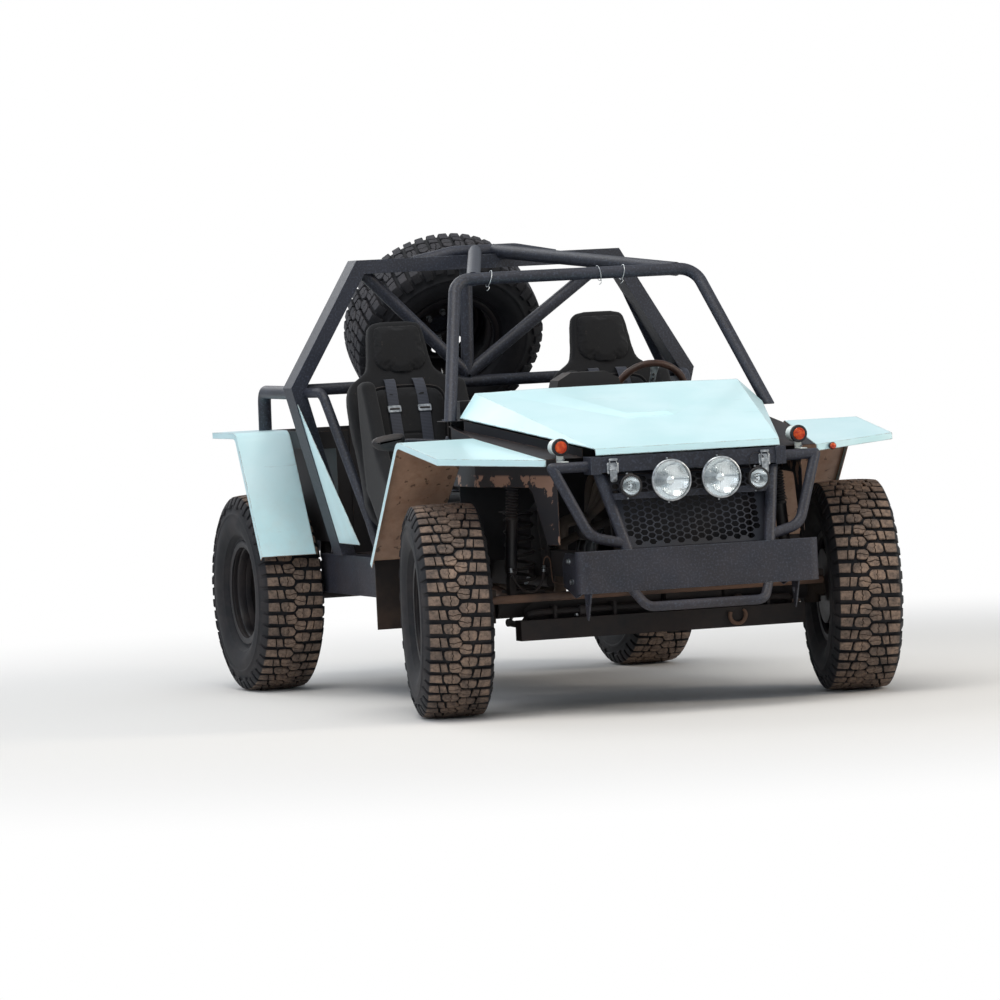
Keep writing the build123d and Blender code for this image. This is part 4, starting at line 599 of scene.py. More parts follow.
shiftTo = Matrix.Translation
quarter = pi / 2
alongZ = Matrix.Rotation(-quarter, 4, "Y")      # takes the X axis to Z
alongX = Matrix.Rotation(quarter, 4, "Y")       # takes the Z axis to X
forward = Matrix.Rotation(-quarter, 4, "Z")     # takes the X axis to the front of the car
rearward = Matrix.Rotation(quarter, 4, "Z")     # takes the X axis to the rear
faceFront = Matrix.Rotation(quarter, 4, "X")    # Y is up, Z to the front
faceRear = Matrix.Rotation(-quarter, 4, "X")    # Y is down, Z to the rear

# Brake hoses: each hangs in a loop from its bracket on the rail to the axle's fitting
hose = {"diameter": 10, "length": 232,
        "route": [(464, -60, 570), (468, -60, 524), (500, -58, 474), (550, -55, 480), (583, -50, 522),
                  (597, -46, 560)],
        "pipe": [(464, -60, 576), (461, -62, 602), (450, -66, 614), (440, -72, 600), (438, -76, 560), (438, -84, 524),
                 (438, -110, 510), (438, -240, 506)],
        "vent": [(464, -60, 590), (468, -60, 640), (477, -62, 705), (479, -64, 800), (486, -68, 849),
                 (512, -76, 877)]}
shape = blank()
for side, name in ((1, "left"), (-1, "right")):
    route = [here(side * x, back, z) * mm for x, back, z in hose["route"]]
    line = bpy.data.curves.new("brake_hose_" + name, "CURVE")
    line.dimensions = "3D"
    line.bevel_depth = hose["diameter"] / 2 * mm
    line.bevel_resolution = 4
    line.resolution_u = 24
    spline = line.splines.new("NURBS")
    spline.points.add(len(route) - 1)
    for point, spot in zip(spline.points, route):
        point.co = (*spot, 1)
    spline.order_u = 3
    spline.use_endpoint_u = True
    line.materials.append(materials["bootRubber"])
    piece = addObject("brake_hose_" + name, line)
    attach(piece, "chassis")
    ends = [here(side * x, back, z) for x, back, z in (hose["route"][0], hose["route"][-1])]
    for spot, up in zip(ends, (1, -1)):       # crimped ferrules with a hexagon to screw them home
        turned(shape, [(-up * 16, 5.2), (-up * 16, 7), (-up * 12, 7.6), (-up * 9, 6.8), (-up * 6, 7.6), (-up * 2, 7),
                       (0, 5.2)], shiftTo(spot) @ alongZ, 1, 20)
    hexHead(shape, shiftTo(ends[0]), 13, 9, 1)
    hexHead(shape, shiftTo(ends[1] + Vector((0, 0, -2))), 13, 9, 1)
    panel(shape, [(side * 429, -74, 570), (side * 474, -74, 570), (side * 474, -46, 570), (side * 429, -46, 570)], 3)
    panel(shape, [(side * 566, -40, 566), (side * 606, -56, 566), (side * 606, -34, 566), (side * 572, -24, 566)], 3)
    for key, radius in (("pipe", 2.6), ("vent", 2.2)):
        pipe(shape, [(side * x, back, z) for x, back, z in hose[key]], 6, radius, finish=2 if key == "pipe" else 0,
             sides=8)
makePiece("brake_fittings", shape, ["chassisPaint", "zincPlate", "dustyRodSteel"])

# Tyres about the X axis, outer side towards +X
# shoulderRun: from the tread's edge to the lugs' foot; flare: how far the lugs stand out with depth
tyre = {"radius": 422.4, "treadHalf": 119, "halfWidth": 144.5, "rows": 48, "groove": 15, "sideLift": 6,
        "crown": 6, "segments": 96, "shoulderRun": 62, "flare": 26 / 57,
        "shoulder": [(119, 401.5), (126, 391), (131.5, 376), (135, 360), (137, 347)], "skew": 0.1,
        "wall": [(0, 407.5), (60, 406.5), (117, 401.0), (125.5, 391), (131, 377), (135, 360), (138.5, 347),
                 (142.5, 342), (143, 336), (141, 332), (142, 318), (143.5, 305), (141, 288), (134, 270), (126, 256),
                 (124, 252), (121, 251), (112, 243), (101, 238), (97.5, 226), (97.5, 210), (92, 203.6)],
        # lug corners as (millimetres from the middle, rows); a sipe parts each centre lug in two
        "upright": [[(-58, 0.15), (-33, 0.13), (-35, 0.36), (-29, 0.50), (-36, 0.66), (-33, 0.87), (-57, 0.83),
                     (-64, 0.60), (-65, 0.26)],
                    [(-30, 0.13), (-12, 0.17), (1, 0.46), (-5, 0.76), (-13, 0.85), (-30, 0.87), (-33, 0.66),
                     (-26, 0.50), (-32, 0.36)]],
        "level": [[(-40, 0.15), (-9, 0.13), (5, 0.40), (-12, 0.45), (-26, 0.55), (-43, 0.50), (-45, 0.28)],
                  [(-43, 0.55), (-26, 0.60), (-12, 0.50), (6, 0.46), (1, 0.76), (-9, 0.86), (-34, 0.85),
                   (-42, 0.74)]],
        "wide": ([-72, -95, -119, -129, -142, -160], 0.17, 0.83),
        "split": (([-52, -78], 0.17, 0.83), ([-82, -100, -119, -129, -140, -150], 0.17, 0.83))}


def treadPoint(u, turn, lift):      # u runs across from the middle and on down the shoulder; lift 1 is a lug's face
    side = -1 if u < 0 else 1
    u = abs(u)
    half = tyre["treadHalf"]
    if u <= half:
        x, r = u, tyre["radius"] - tyre["crown"] * (u / half) ** 3 - tyre["groove"] * (1 - lift)
    else:
        curve = tyre["shoulder"]
        t = min((u - half) / tyre["shoulderRun"], 1.0)
        i = min(int(t * (len(curve) - 1)), len(curve) - 2)
        f = t * (len(curve) - 1) - i
        x = curve[i][0] + (curve[i + 1][0] - curve[i][0]) * f
        r = curve[i][1] + (curve[i + 1][1] - curve[i][1]) * f
        rise = (tyre["groove"] * (1 - t) + tyre["sideLift"] * t) * lift
        slant = quarter * (1 - min(t * 1.3, 1.0))
        r += sin(slant) * rise
        x = min(x + cos(slant) * rise, tyre["halfWidth"], half + tyre["flare"] * (tyre["radius"] - r))
    turn -= side * min(u, half) / half * tyre["skew"] * tau / tyre["rows"]
    return Vector((side * x, sin(turn) * r, cos(turn) * r))


def centreLug(shape, outline, mirror, row):
    pitch = tau / tyre["rows"]
    count = len(outline)
    middle = Vector((sum(u for u, _ in outline), sum(v for _, v in outline))) / count
    points, faces = [], []
    for lift, grow in ((-0.15, 1.04), (0.88, 1.0), (1.0, 0.945)):
        for corner in outline:
            spot = middle + (Vector(corner) - middle) * grow
            points.append(treadPoint(mirror * spot.x, (spot.y + row) * pitch, lift))
    for ring in (0, count):
        faces += [[ring + i, ring + (i + 1) % count, ring + count + (i + 1) % count,
                   ring + count + i] for i in range(count)]
    put(shape, points, faces + [[2 * count + i for i in range(count)]])


def shoulderLug(shape, stations, low, high, mirror, row):       # runs over the shoulder and down the side
    pitch = tau / tyre["rows"]
    points, faces = [], []
    last = len(stations) - 1
    for k, u in enumerate(stations):
        pull = -1.6 if k == 0 else 1.6 if k == last else 0
        for lift, inset, step in ((-0.15, -0.03, 0), (0.86, 0.0, pull * 0.3), (1.0, 0.045, pull)):
            for v in (low + inset, high - inset):
                slant = 12 * max(0, 1 - (abs(u) - 50) / 69) * (v - 0.5)     # inner lugs are lozenges
                points.append(treadPoint(mirror * (u + step + slant), (v + row) * pitch, lift))
    for k in range(last):
        a, b = 6 * k, 6 * (k + 1)
        for p, q in ((0, 2), (2, 4), (4, 5), (5, 3), (3, 1)):
            faces.append([a + p, a + q, b + q, b + p])
    for a in (0, 6 * last):
        faces += [[a, a + 1, a + 3, a + 2], [a + 2, a + 3, a + 5, a + 4]]
    put(shape, points, faces)


def makeTyre():
    shape = blank()
    for row in range(tyre["rows"]):
        for mirror, shift in ((1, 0.0), (-1, 0.5)):
            kind = "upright" if (row + (mirror < 0)) % 2 else "level"
            for outline in tyre[kind]:
                centreLug(shape, outline, mirror, row + shift)
            for stations, low, high in ([tyre["wide"]] if kind == "upright" else tyre["split"]):
                shoulderLug(shape, stations, low, high, mirror, row + shift)
    turned(shape, [(-x, r) for x, r in reversed(tyre["wall"])] + tyre["wall"][1:], count=tyre["segments"], ring=True)
    return shape


# Wheel dressing, outer side towards +X: rolled lips, stepped rings, hub cap, nuts and valve
rim = {"lip": 222.4, "lipX": 104.5, "discFace": -52, "nutCircle": 66, "nuts": 6, "nutWidth": 21}


def makeWheelTrim(withHub):
    shape = blank()
    for side in (1, -1):
        x = side * rim["lipX"]
        turned(shape, [(x - side * 8, rim["lip"]), (x - side * 2, rim["lip"] + 0.6), (x + side * 0.6, rim["lip"] - 3),
                       (x + side * 0.8, 214), (x - side * 2, 200), (x - side * 12, 196), (x - side * 12, 198),
                       (x - side * 3, 203), (x - side * 3, 217)], count=72, ring=True)
    for x, r in ((70, 196.6), (42, 196.6)):      # steps rolled into the deep outer barrel
        turned(shape, [(x + 9, r + 0.8), (x + 7, r - 4), (x, r - 7), (x - 26, r - 7), (x - 28, r + 0.8)], count=72,
               ring=True)
    face = rim["discFace"]
    turned(shape, [(face - 1, 182), (face + 5, 180), (face + 9, 172), (face + 5, 164), (face - 1, 162)], count=72,
           ring=True)
    turned(shape, [(face - 1, 96), (face + 7, 92), (face + 9, 86), (face + 9, 52), (face + 4, 47), (face - 1, 47)],
           count=60, ring=True)
    bentRod(shape, [(60, 0, -188), (52, 0, -176), (40, 0, -170)], [5, 4, 3.2], finish=1, sides=10)      # valve stem
    if withHub:
        turned(shape, [(-18, 0), (-18, 40), (-14, 41), (-10, 38), (-4, 30), (-1, 16), (0, 0)], finish=1, count=40)
    for k in range(rim["nuts"]):
        a = k * tau / rim["nuts"]
        spot = Vector((face + 9, rim["nutCircle"] * sin(a), rim["nutCircle"] * cos(a)))
        hexHead(shape, shiftTo(spot) @ alongX, rim["nutWidth"], 17, 1)
    return shape


axles = {"base": 2500, "halfTrack": 850, "kingpin": 690, "height": 422.5, "spare": (0, 2485, 1510), "spareLean": 31.5}
wheels = {"spare": (at(*axles["spare"]) @ turnBy(axles["spareLean"], "X") @ forward, "chassis", "spare_tyre")}
for side, sign in (("left", 1), ("right", -1)):
    outward = Matrix.Identity(4) if sign > 0 else Matrix.Rotation(pi, 4, "Z")
    pivot = here(sign * axles["kingpin"], 0, 0)
    steered = shiftTo(pivot) @ turnBy(steerRest, "Z") @ shiftTo(-pivot)
    wheels["front_" + side] = (steered @ at(sign * axles["halfTrack"], 0, axles["height"]) @ outward,
                               "wheel_front_" + side, "tyre_front_" + side)
    wheels["rear_" + side] = (at(sign * axles["halfTrack"], axles["base"], axles["height"]) @ outward,
                              "wheel_rear_" + side, "tyre_rear_" + side)

tyreShape, roadTrim, spareTrim = makeTyre(), makeWheelTrim(True), makeWheelTrim(False)
made = {}
for name, (place, body, node) in wheels.items():
    rubber = "spareRubber" if name == "spare" else "tyreRubber"
    made[rubber] = makePiece("treaded_tyre_" + name, made[rubber].data if rubber in made else tyreShape,
                             [rubber], [node], place, crease=28, body=body)
    trim = spareTrim if name == "spare" else roadTrim
    key = "spareTrim" if name == "spare" else "roadTrim"
    made[key] = makePiece("wheel_trim_" + name, made[key].data if key in made else trim, ["rimEnamel", "zincPlate"],
                          place=place, body=body)
print("wheels ready,", len(made["tyreRubber"].data.polygons), "faces to a tyre")

# Lamps: a bowl, a reflector, a bulb behind its cap, a domed lens and a clipped rim; the X axis points forward
lamps = {"big": {"spots": [(104, -602, 905), (-104, -602, 905)], "radius": 82.5, "depth": 66, "bowl": 1},
         "small": {"spots": [(266, -585, 891), (-266, -585, 891)], "radius": 45, "depth": 58, "bowl": 2}}
for kind, spec in lamps.items():
    radius, depth = spec["radius"], spec["depth"]
    shape, glass = blank(), blank()
    for spot in spec["spots"]:
        place = at(*spot) @ forward
        turned(shape, [(-9, radius - 1), (-12, radius - 4), (-depth * 0.45, radius * 0.86),
                       (-depth * 0.8, radius * 0.6), (-depth, radius * 0.3), (-depth, 0), (-depth + 3, 0),
                       (-depth * 0.76, radius * 0.55), (-depth * 0.42, radius * 0.82), (-9, radius - 7)], place,
                       spec["bowl"], 56)
        turned(shape, [(-6, radius - 5), (-depth * 0.3, radius * 0.80), (-depth * 0.58, radius * 0.52),
                       (-depth * 0.72, radius * 0.2), (-depth * 0.74, 0), (-depth * 0.78, 0),
                       (-depth * 0.7, radius * 0.4), (-depth * 0.4, radius * 0.8), (-8, radius - 4)], place, 0, 56)
        rimFinish = 1 if kind == "big" else 2
        turned(shape, [(-13, radius - 2), (-10, radius), (-3, radius), (0, radius - 2), (1, radius - 5),
                       (0, radius - 8), (-3, radius - 8.5), (-4, radius - 6), (-12, radius - 5)], place, rimFinish,
                       64, ring=True)
        turned(shape, [(-depth * 0.74, 0), (-depth * 0.74, radius * 0.13), (-depth * 0.42, radius * 0.13),
                       (-depth * 0.36, radius * 0.10), (-depth * 0.34, 0)], place, 1, 20)
        turned(shape, [(-depth * 0.40, 0), (-depth * 0.40, radius * 0.19), (-depth * 0.28, radius * 0.19),
                       (-depth * 0.22, radius * 0.12), (-depth * 0.21, 0)], place, 0, 24)
        for up in (1, -1):      # rim clamp above, its screw below
            clamp = at(spot[0], spot[1] + 14, spot[2] + up * (radius - 1)) @ faceRear
            plate(shape, roundedBox(26 if up > 0 else 12, 11, 2), 16, 1.5, clamp, 2)
            hexHead(shape, at(spot[0] - 13, spot[1] + 6, spot[2] + up * (radius + 3)) @ alongZ, 5, 4, 1)
        turned(glass, [(-9, 0), (-9, radius - 9), (-6, radius - 8), (-3.4, radius * 0.72), (-1.6, radius * 0.45),
                       (-1, 0)], place, 0, 56)
    makePiece(f"lamp_bowls_{kind}", shape, ["vacuumChrome", "zincPlate", "grainedAbs"],
              ["lamp_cups"], crease=40)
    makePiece(f"lamp_lenses_{kind}", glass, ["flutedGlass"], ["lamp_lenses"], crease=60)

# Indicators: a stepped amber lens in a black rubber ring; the white bodies are CAD
shape = blank()
for side in (1, -1):
    place = at(side * 498, -433, 1052) @ forward
    turned(shape, [(-2, 0), (-2, 24), (7, 24), (9, 21.5), (9, 18), (11, 17), (11, 12), (12, 11), (12, 5), (11, 0)],
           place, 0, 40)
    turned(shape, [(-9, 32.2), (-7, 34.5), (4, 34.5), (7, 32), (7, 25.5), (3, 24.3), (-2, 24.3), (-2, 32)], place, 1,
           40, ring=True)
    for dx in (-13, 13):
        hexHead(shape, at(side * 498 + dx, -424, 1001), 7, 4, 2)
makePiece("indicator_fronts", shape, ["amberAcrylic", "bootRubber", "zincPlate"], ["indicator_lenses"])

# Bonnet latches: a riveted base, a lever with rolled sides, a wire bail, and the catch that it pulls on
latch = {"x": 316, "face": -516, "baseWidth": 48, "leverWidth": 28}
shape = blank()
for side in (1, -1):
    face = at(side * latch["x"], latch["face"], 0) @ faceFront     # Y is up, Z forward
    up = lambda x, z, out=0.0: face @ shiftTo((x, z, out))
    plate(shape, roundedBox(latch["baseWidth"], 44, 6), 3, 1, up(0, 962, 0.3))
    for x in (-18, 18):
        for z in (947, 977):
            turned(shape, [(3, 4.2), (5, 3.6), (5.8, 1.8), (6, 0), (2, 0), (2, 4.2)], up(x, z) @ alongZ, 0, 14)
    plate(shape, roundedBox(latch["leverWidth"], 62, 9), 2.5, 0.8, up(0, 938, 7))
    for x in (-1, 1):
        plate(shape, roundedBox(3, 50, 1.2), 9, 0.8, up(x * (latch["leverWidth"] / 2 - 1.5), 940, 2))
        bentRod(shape, [up(x * 15, 956, 8) @ Vector(), up(x * 15, 978, 8) @ Vector(), up(x * 13, 992, 6) @ Vector()],
                2, sides=8)
    bentRod(shape, [up(-16, 956, 8) @ Vector(), up(16, 956, 8) @ Vector()], 3.4, sides=10)
    bentRod(shape, [up(-13, 992, 6) @ Vector(), up(0, 995, 6) @ Vector(), up(13, 992, 6) @ Vector()], 2, sides=8)
    turned(shape, [(9, 0), (9, 7), (11.5, 6), (12, 0)], up(0, 918) @ alongZ, 0, 20)
    plate(shape, roundedBox(36, 9, 3), 12, 1, up(0, 995, 0))
wire = [here(290 + 33 * sin(t * tau / 16) - 8, -523, 950 + 40 * cos(t * tau / 16)) for t in range(16)]
bentRod(shape, eased(wire, 4, loop=True), 1.7, finish=1, sides=8, loop=True)       # keeper wire on the driver's latch
makePiece("toggle_latches", shape, ["zincPlate", "bootRubber"], ["bonnet_latches"], crease=40)

# Marker lamp and hook under the front fenders' tips, wire ties on the screen bar
shape = blank()
turned(shape, [(-14, 0), (-14, 13), (4, 15), (8, 14), (8, 0)], at(640, -428, 996) @ forward, 1, 28)
turned(shape, [(8, 12.5), (14, 11), (17, 6), (18, 0), (7, 0), (7, 12.5)], at(640, -428, 996) @ forward, 0, 28)
hook = [(0, 0, 0), (0, 1, -10), (2, 3, -20), (9, 4, -27), (16, 4, -22), (17, 4, -13)]
bentRod(shape, eased([here(-592, -432, 1008) + Vector(p) for p in hook], 5), 2.6, finish=2, sides=8)
makePiece("marker_and_hook", shape, ["amberAcrylic", "grainedAbs", "dustyRodSteel"])
shape = blank()
for x, slack, turn in ((-372, 5, 0.35), (101, 3, -0.15), (203, 3, 0.2)):
    ring = [here(x + turn * 30 * cos(k * tau / 12), 717 + (27.5 + slack * (k in (5, 6, 7))) * sin(k * tau / 12),
                 1724 - slack / 2 + (27.5 + slack) * cos(k * tau / 12)) for k in range(12)]
    bentRod(shape, eased(ring, 3, loop=True), 1.8, sides=8, loop=True)
    tail = Vector(ring[7])
    bentRod(shape, eased([tail, tail + Vector((2, -3, -9)), tail + Vector((-4, -4, -17)),
                          tail + Vector((-9, -2, -20))], 4), 1.6, sides=8)
makePiece("wire_ties", shape, ["zincPlate"])
print("lamps, latches and ties ready")

# Coil springs and their dampers
springs = {"x": 505, "backs": (105, 2605), "low": 480.3, "high": 789.4, "outer": 61.5, "wire": 7, "turns": 6}
shape = blank()
for back in springs["backs"]:
    for side in (1, -1):
        steps = springs["turns"] * 24
        line = []
        for k in range(steps + 1):
            t = k / steps
            flat = 0.5 - 0.5 * cos(pi * t)
            rise = 0.8 * t + 0.2 * flat     # the end turns lie closer
            a = t * springs["turns"] * tau
            r = springs["outer"] - springs["wire"]
            low, high = springs["low"] + springs["wire"], springs["high"] - springs["wire"]
            line.append(here(side * springs["x"] + r * cos(a), back + r * sin(a), low + (high - low) * rise))
        bentRod(shape, line, springs["wire"], sides=10)
        for z, up in ((springs["low"], 1), (springs["high"], -1)):      # rubber seats
            turned(shape, [(0, 30), (0, 60), (up * 6, 60), (up * 9, 46), (up * 14, 44), (up * 14, 30)],
                   at(side * springs["x"], back, z) @ alongZ, 1, 36, ring=True)
makePiece("coil_springs", shape, ["chassisPaint", "bootRubber"], ["springs"])

dampers = {"low": (585, -8, 540), "high": (556, -8, 962), "radius": 26, "backs": (0, 2500), "folds": 13}
shape = blank()
for back in dampers["backs"]:
    for side in (1, -1):
        low = here(side * dampers["low"][0], dampers["low"][1] + back, dampers["low"][2])
        high = here(side * dampers["high"][0], dampers["high"][1] + back, dampers["high"][2])
        run = high - low
        place = shiftTo(low) @ run.to_track_quat("X", "Z").to_matrix().to_4x4()
        length, r = run.length, dampers["radius"]
        turned(shape, [(0, 0), (0, 15), (10, 19), (16, r - 3), (22, r - 2), (length * 0.52, r - 2),
                       (length * 0.53, r), (length * 0.55, r), (length * 0.56, 12), (length * 0.56, 0)], place, 0, 32)
        fold = [(length * 0.53, 10), (length * 0.53, r + 0.5)]
        step = length * 0.36 / dampers["folds"]
        for k in range(dampers["folds"]):
            x = length * 0.54 + k * step
            fold += [(x + step * 0.25, r + 0.5), (x + step * 0.5, r - 1), (x + step * 0.75, r - 6), (x + step, r - 1)]
        fold += [(length * 0.91, r - 2), (length * 0.935, r - 4), (length * 0.935, 10)]
        turned(shape, fold, place, 1, 32, ring=True)
        turned(shape, [(length * 0.9, 0), (length * 0.9, 8), (length, 8), (length, 0)], place, 2, 20)
        for spot in (0, length):
            turned(shape, [(-15, 6), (-15, 13), (15, 13), (15, 6)], place @ shiftTo((spot, 0, 0)) @ forward, 1, 28,
                   ring=True)
            turned(shape, [(-17, 0), (-17, 6), (17, 6), (17, 0)], place @ shiftTo((spot, 0, 0)) @ forward, 2, 18)
makePiece("damper_bodies", shape, ["rimEnamel", "bootRubber", "zincPlate"], ["shocks"])
print("springs and dampers ready")

# Steering wheel, Z towards the driver: a laced leather rim, three drilled spokes and a hub pad
helm = {"spot": (362, 905, 1192), "tilt": 24, "turned": -176, "radius": 163, "grip": 15, "spokes": (0, 180, 270)}
axis = Vector((0, cos(radians(helm["tilt"])), sin(radians(helm["tilt"]))))
topward = Vector((0, -axis.z, axis.y))
sideways = topward.cross(axis)
facing = Matrix(((sideways.x, topward.x, axis.x, 0), (sideways.y, topward.y, axis.y, 0),
                 (sideways.z, topward.z, axis.z, 0), (0, 0, 0, 1)))
place = at(*helm["spot"]) @ facing @ turnBy(helm["turned"], "Z")
shape = blank()
line = [Vector((helm["radius"] * cos(k * tau / 72), helm["radius"] * sin(k * tau / 72), 0)) for k in range(72)]
thick = [helm["grip"] - 0.3 + (0.9 if k % 18 in (8, 9, 10) else 0) - 0.8 * (k % 18 in (0, 1, 17)) for k in range(72)]
bentRod(shape, line, thick, place, 0, 16, loop=True)
for k in range(150):    # lacing along the inside of the rim
    a = k * tau / 150
    spot = Vector((cos(a), sin(a), 0)) * (helm["radius"] - helm["grip"] + 1.2)
    slide = Vector((-sin(a), cos(a), 0)) * 2.4
    bentRod(shape, [spot - slide + Vector((0, 0, -2.5)), spot + slide + Vector((0, 0, 2.5))], 0.9, place, 2, 5)
for angle in helm["spokes"]:
    arm = place @ turnBy(angle, "Z")
    outline = [(30, -17), (60, -13), (110, -13), (148, -19), (154, -19), (154, 19), (148, 19), (110, 13), (60, 13),
               (30, 17)]
    plate(shape, outline, 4, 1, arm @ shiftTo((0, 0, -2)), 1)
    for x in (72, 92, 112):
        turned(shape, [(-2.6, 0), (-2.6, 6.5), (2.6, 6.5), (2.6, 0)], arm @ shiftTo((x, 0, 0)) @ alongZ, 2, 20)
turned(shape, [(-10, 0), (-10, 36), (-6, 38), (2, 38), (3, 0)], place @ alongZ, 1, 40)
turned(shape, [(2.5, 0), (2.5, 33), (6, 33), (9, 27), (10, 18), (10, 0)], place @ alongZ, 2, 40)
for k in range(6):
    spot = Vector((29.5 * cos(k * tau / 6), 29.5 * sin(k * tau / 6), 5.5))
    turned(shape, [(0, 0), (0, 2.6), (1.2, 2.6), (1.8, 1.4), (1.8, 0)], place @ shiftTo(spot) @ alongZ, 1, 12)
makePiece("laced_steering_wheel", shape, ["hideLeather", "zincPlate", "grainedAbs"],
          ["steering_wheel"], body="steering_wheel")

# Instruments on the dash pod, facing the driver, and a row of toggle switches under them
shape = blank()
for x, r in ((-118, 30), (-35, 36), (52, 30)):
    place = at(x, 619, 1272) @ rearward
    turned(shape, [(-2, 0), (-2, r), (5, r), (7, r - 2), (7, r - 4), (3, r - 5), (3, 0)], place, 0, 40)
    turned(shape, [(3.1, 0), (3.1, r - 5.2), (3.5, r - 5.2), (3.5, 0)], place, 1, 40)
    for k in range(13):
        a = radians(-120 + 20 * k)
        tick = place @ Matrix.Rotation(a, 4, "X") @ shiftTo((3.5, 0, r - 10))
        plate(shape, roundedBox(1.6, 6 if k % 3 == 0 else 3.5, 0.5, 1), 0.5, 0.1, tick @ alongZ @ rearward, 2)
    needle = place @ turnBy(-70 + x * 0.4, "X") @ shiftTo((4.2, 0, 0))
    bentRod(shape, [needle @ Vector((0, 0, -6)), needle @ Vector((0, 0, r - 11))], [1.3, 0.5], finish=3, sides=6)
    turned(shape, [(3.5, 0), (3.5, 4), (5.5, 3.4), (5.5, 0)], place, 0, 16)
for k in range(6):
    place = at(-150 + 46 * k, 599.5, 1190) @ rearward
    turned(shape, [(0, 0), (0, 9), (2, 9), (3, 6.5), (6, 6), (6, 0)], place, 2, 16)
    bentRod(shape, [place @ Vector((5, 0, 0)), place @ Vector((17, 0, 5 if k % 2 else -5))], [2.2, 3.0], finish=2,
            sides=10)
makePiece("dash_instruments", shape, ["grainedAbs", "dialPaper", "whitePolypropylene", "amberAcrylic"],
          crease=40)
print("steering wheel and instruments ready")

# Ducts that close the space between the grille and the radiator, and mounting plates on the rails' front ends
shape = blank()
for side in (1, -1):
    a, b = (side * 338, -543, 652), (side * 338, -466, 930)
    c, d = (side * 276, -438, 914), (side * 276, -438, 622)
    panel(shape, [a, b, c] if side > 0 else [b, a, c], 2.5)
    panel(shape, [a, c, d] if side > 0 else [c, a, d], 2.5)
for a, b in (((338, -466, 933), (276, -438, 917)), ((338, -543, 649), (276, -438, 619))):
    panel(shape, [(-a[0], a[1], a[2]), (a[0], a[1], a[2]), (b[0], b[1], b[2]), (-b[0], b[1], b[2])], 2.5)
for side in (1, -1):
    outline = [(-590, 500), (-440, 478), (-362, 457), (-222, 500), (-218, 590), (-255, 629), (-590, 629)]
    corners = [(side * 434, back, z) for back, z in outline]
    panel(shape, corners if side < 0 else corners[::-1], 5, 1)
    for back, z in ((-560, 600), (-560, 530), (-430, 600), (-300, 600), (-330, 520)):
        hexHead(shape, at(side * 439, back, z) @ Matrix.Rotation(side * quarter, 4, "Y"), 17, 10, 2)
makePiece("front_ducts_and_plates", shape, ["blackSheetPaint", "texturedPowderCoat", "zincPlate"],
          crease=30)

# Anti-roll bar in its clamps, drop links, stone guards behind the beam and an open hook on it
roll = {"radius": 13, "bar": [(548, 150, 350), (556, 60, 348), (560, -50, 352), (552, -96, 380), (520, -113, 397),
                              (300, -113, 398)]}
shape = blank()
line = [here(*p) for p in roll["bar"]]
line += [here(-x, back, z) for x, back, z in reversed(roll["bar"])]
bentRod(shape, eased(line, 6), roll["radius"], sides=14)
for side in (1, -1):
    clamp = at(side * 330 - 15, -113, 396) @ alongX @ rearward
    plate(shape, roundedBox(40, 46, 16), 30, 3, clamp, 1)
    panel(shape, [(side * 330 - 32, -140, 371), (side * 330 + 32, -140, 371), (side * 330 + 32, -86, 371),
                  (side * 330 - 32, -86, 371)], 4)
    for dx in (-25, 25):
        hexHead(shape, at(side * 330 + dx, -113, 375), 13, 8, 2)
    pipe(shape, [(side * 548, 150, 350), (side * 500, 150, 440), (side * 447, 150, 545)], 1, 7, finish=2, sides=12)
    for x, z in ((548, 350), (447, 545)):
        turned(shape, [(-12, 0), (-12, 12), (-8, 16), (8, 16), (12, 12), (12, 0)], at(side * x, 150, z), 1, 24)
guards = [[(-560, 336), (16, 336), (16, 440), (-520, 440), (-560, 410)],
          [(284, 336), (560, 336), (560, 410), (520, 440), (284, 440)]]
for outline in guards:
    panel(shape, [(x, -76, z) for x, z in outline], 3)
    for x, z in ((outline[0][0] + 30, 352), (outline[1][0] - 30, 352)):
        hexHead(shape, at(x, -76, z) @ faceFront, 13, 8, 2)
hookLine = [(-30, 14), (-33, -4), (-24, -24), (-4, -33), (18, -28), (32, -10), (33, 10), (24, 22)]
pipe(shape, [(308 + x, -160, 337 + z) for x, z in hookLine], 5, [8] * 30 + [7, 6.5, 6, 5.5, 5, 4], finish=3, sides=12)
panel(shape, [(262, -151, 330), (290, -151, 330), (290, -151, 366), (262, -151, 366)][::-1], 8)
makePiece("anti_roll_bar", shape, ["chassisPaint", "bootRubber", "zincPlate", "dustyRodSteel"],
          crease=30)

# Engine: sump, block, head and ribbed rocker cover in line, belt drive and fan, manifolds, air filter, gearbox
engine = {"levels": [(220, 460, 30, 662, 58, 0), (262, 540, 20, 720, 162, 0), (236, 520, 14, 882, 66, 0),
                     (186, 476, 24, 948, 42, 1)],
          "ports": (-180, -60, 60, 180), "pulleys": [(0, 726, 62), (0, 846, 50), (118, 872, 34)],
          "belt": [(-62, 726), (-44, 698), (0, 664), (44, 690), (62, 730), (146, 852), (150, 882), (124, 905),
                   (104, 902), (20, 893), (-20, 892), (-48, 860)]}
shape = blank()
for width, length, radius, z, height, finish in engine["levels"]:
    plate(shape, roundedBox(width, length, radius), height, 6, at(0, 0, z), finish)
for x in (-60, -30, 0, 30, 60):
    plate(shape, roundedBox(9, 400, 4), 7, 2, at(x, 10, 989), 1)
for x in (-84, 84):
    for back in (-215, -72, 72, 215):
        hexHead(shape, at(x, back, 989), 13, 7, 2)
turned(shape, [(0, 0), (0, 30), (6, 32), (14, 32), (18, 28), (18, 0)], at(0, -200, 990) @ alongZ, 3, 32)
for z in (740, 780, 820, 860):      # ribs and core plugs down both sides of the block
    for x in (-133, 133):
        plate(shape, roundedBox(7, 500, 3), 8, 2, at(x, 0, z))
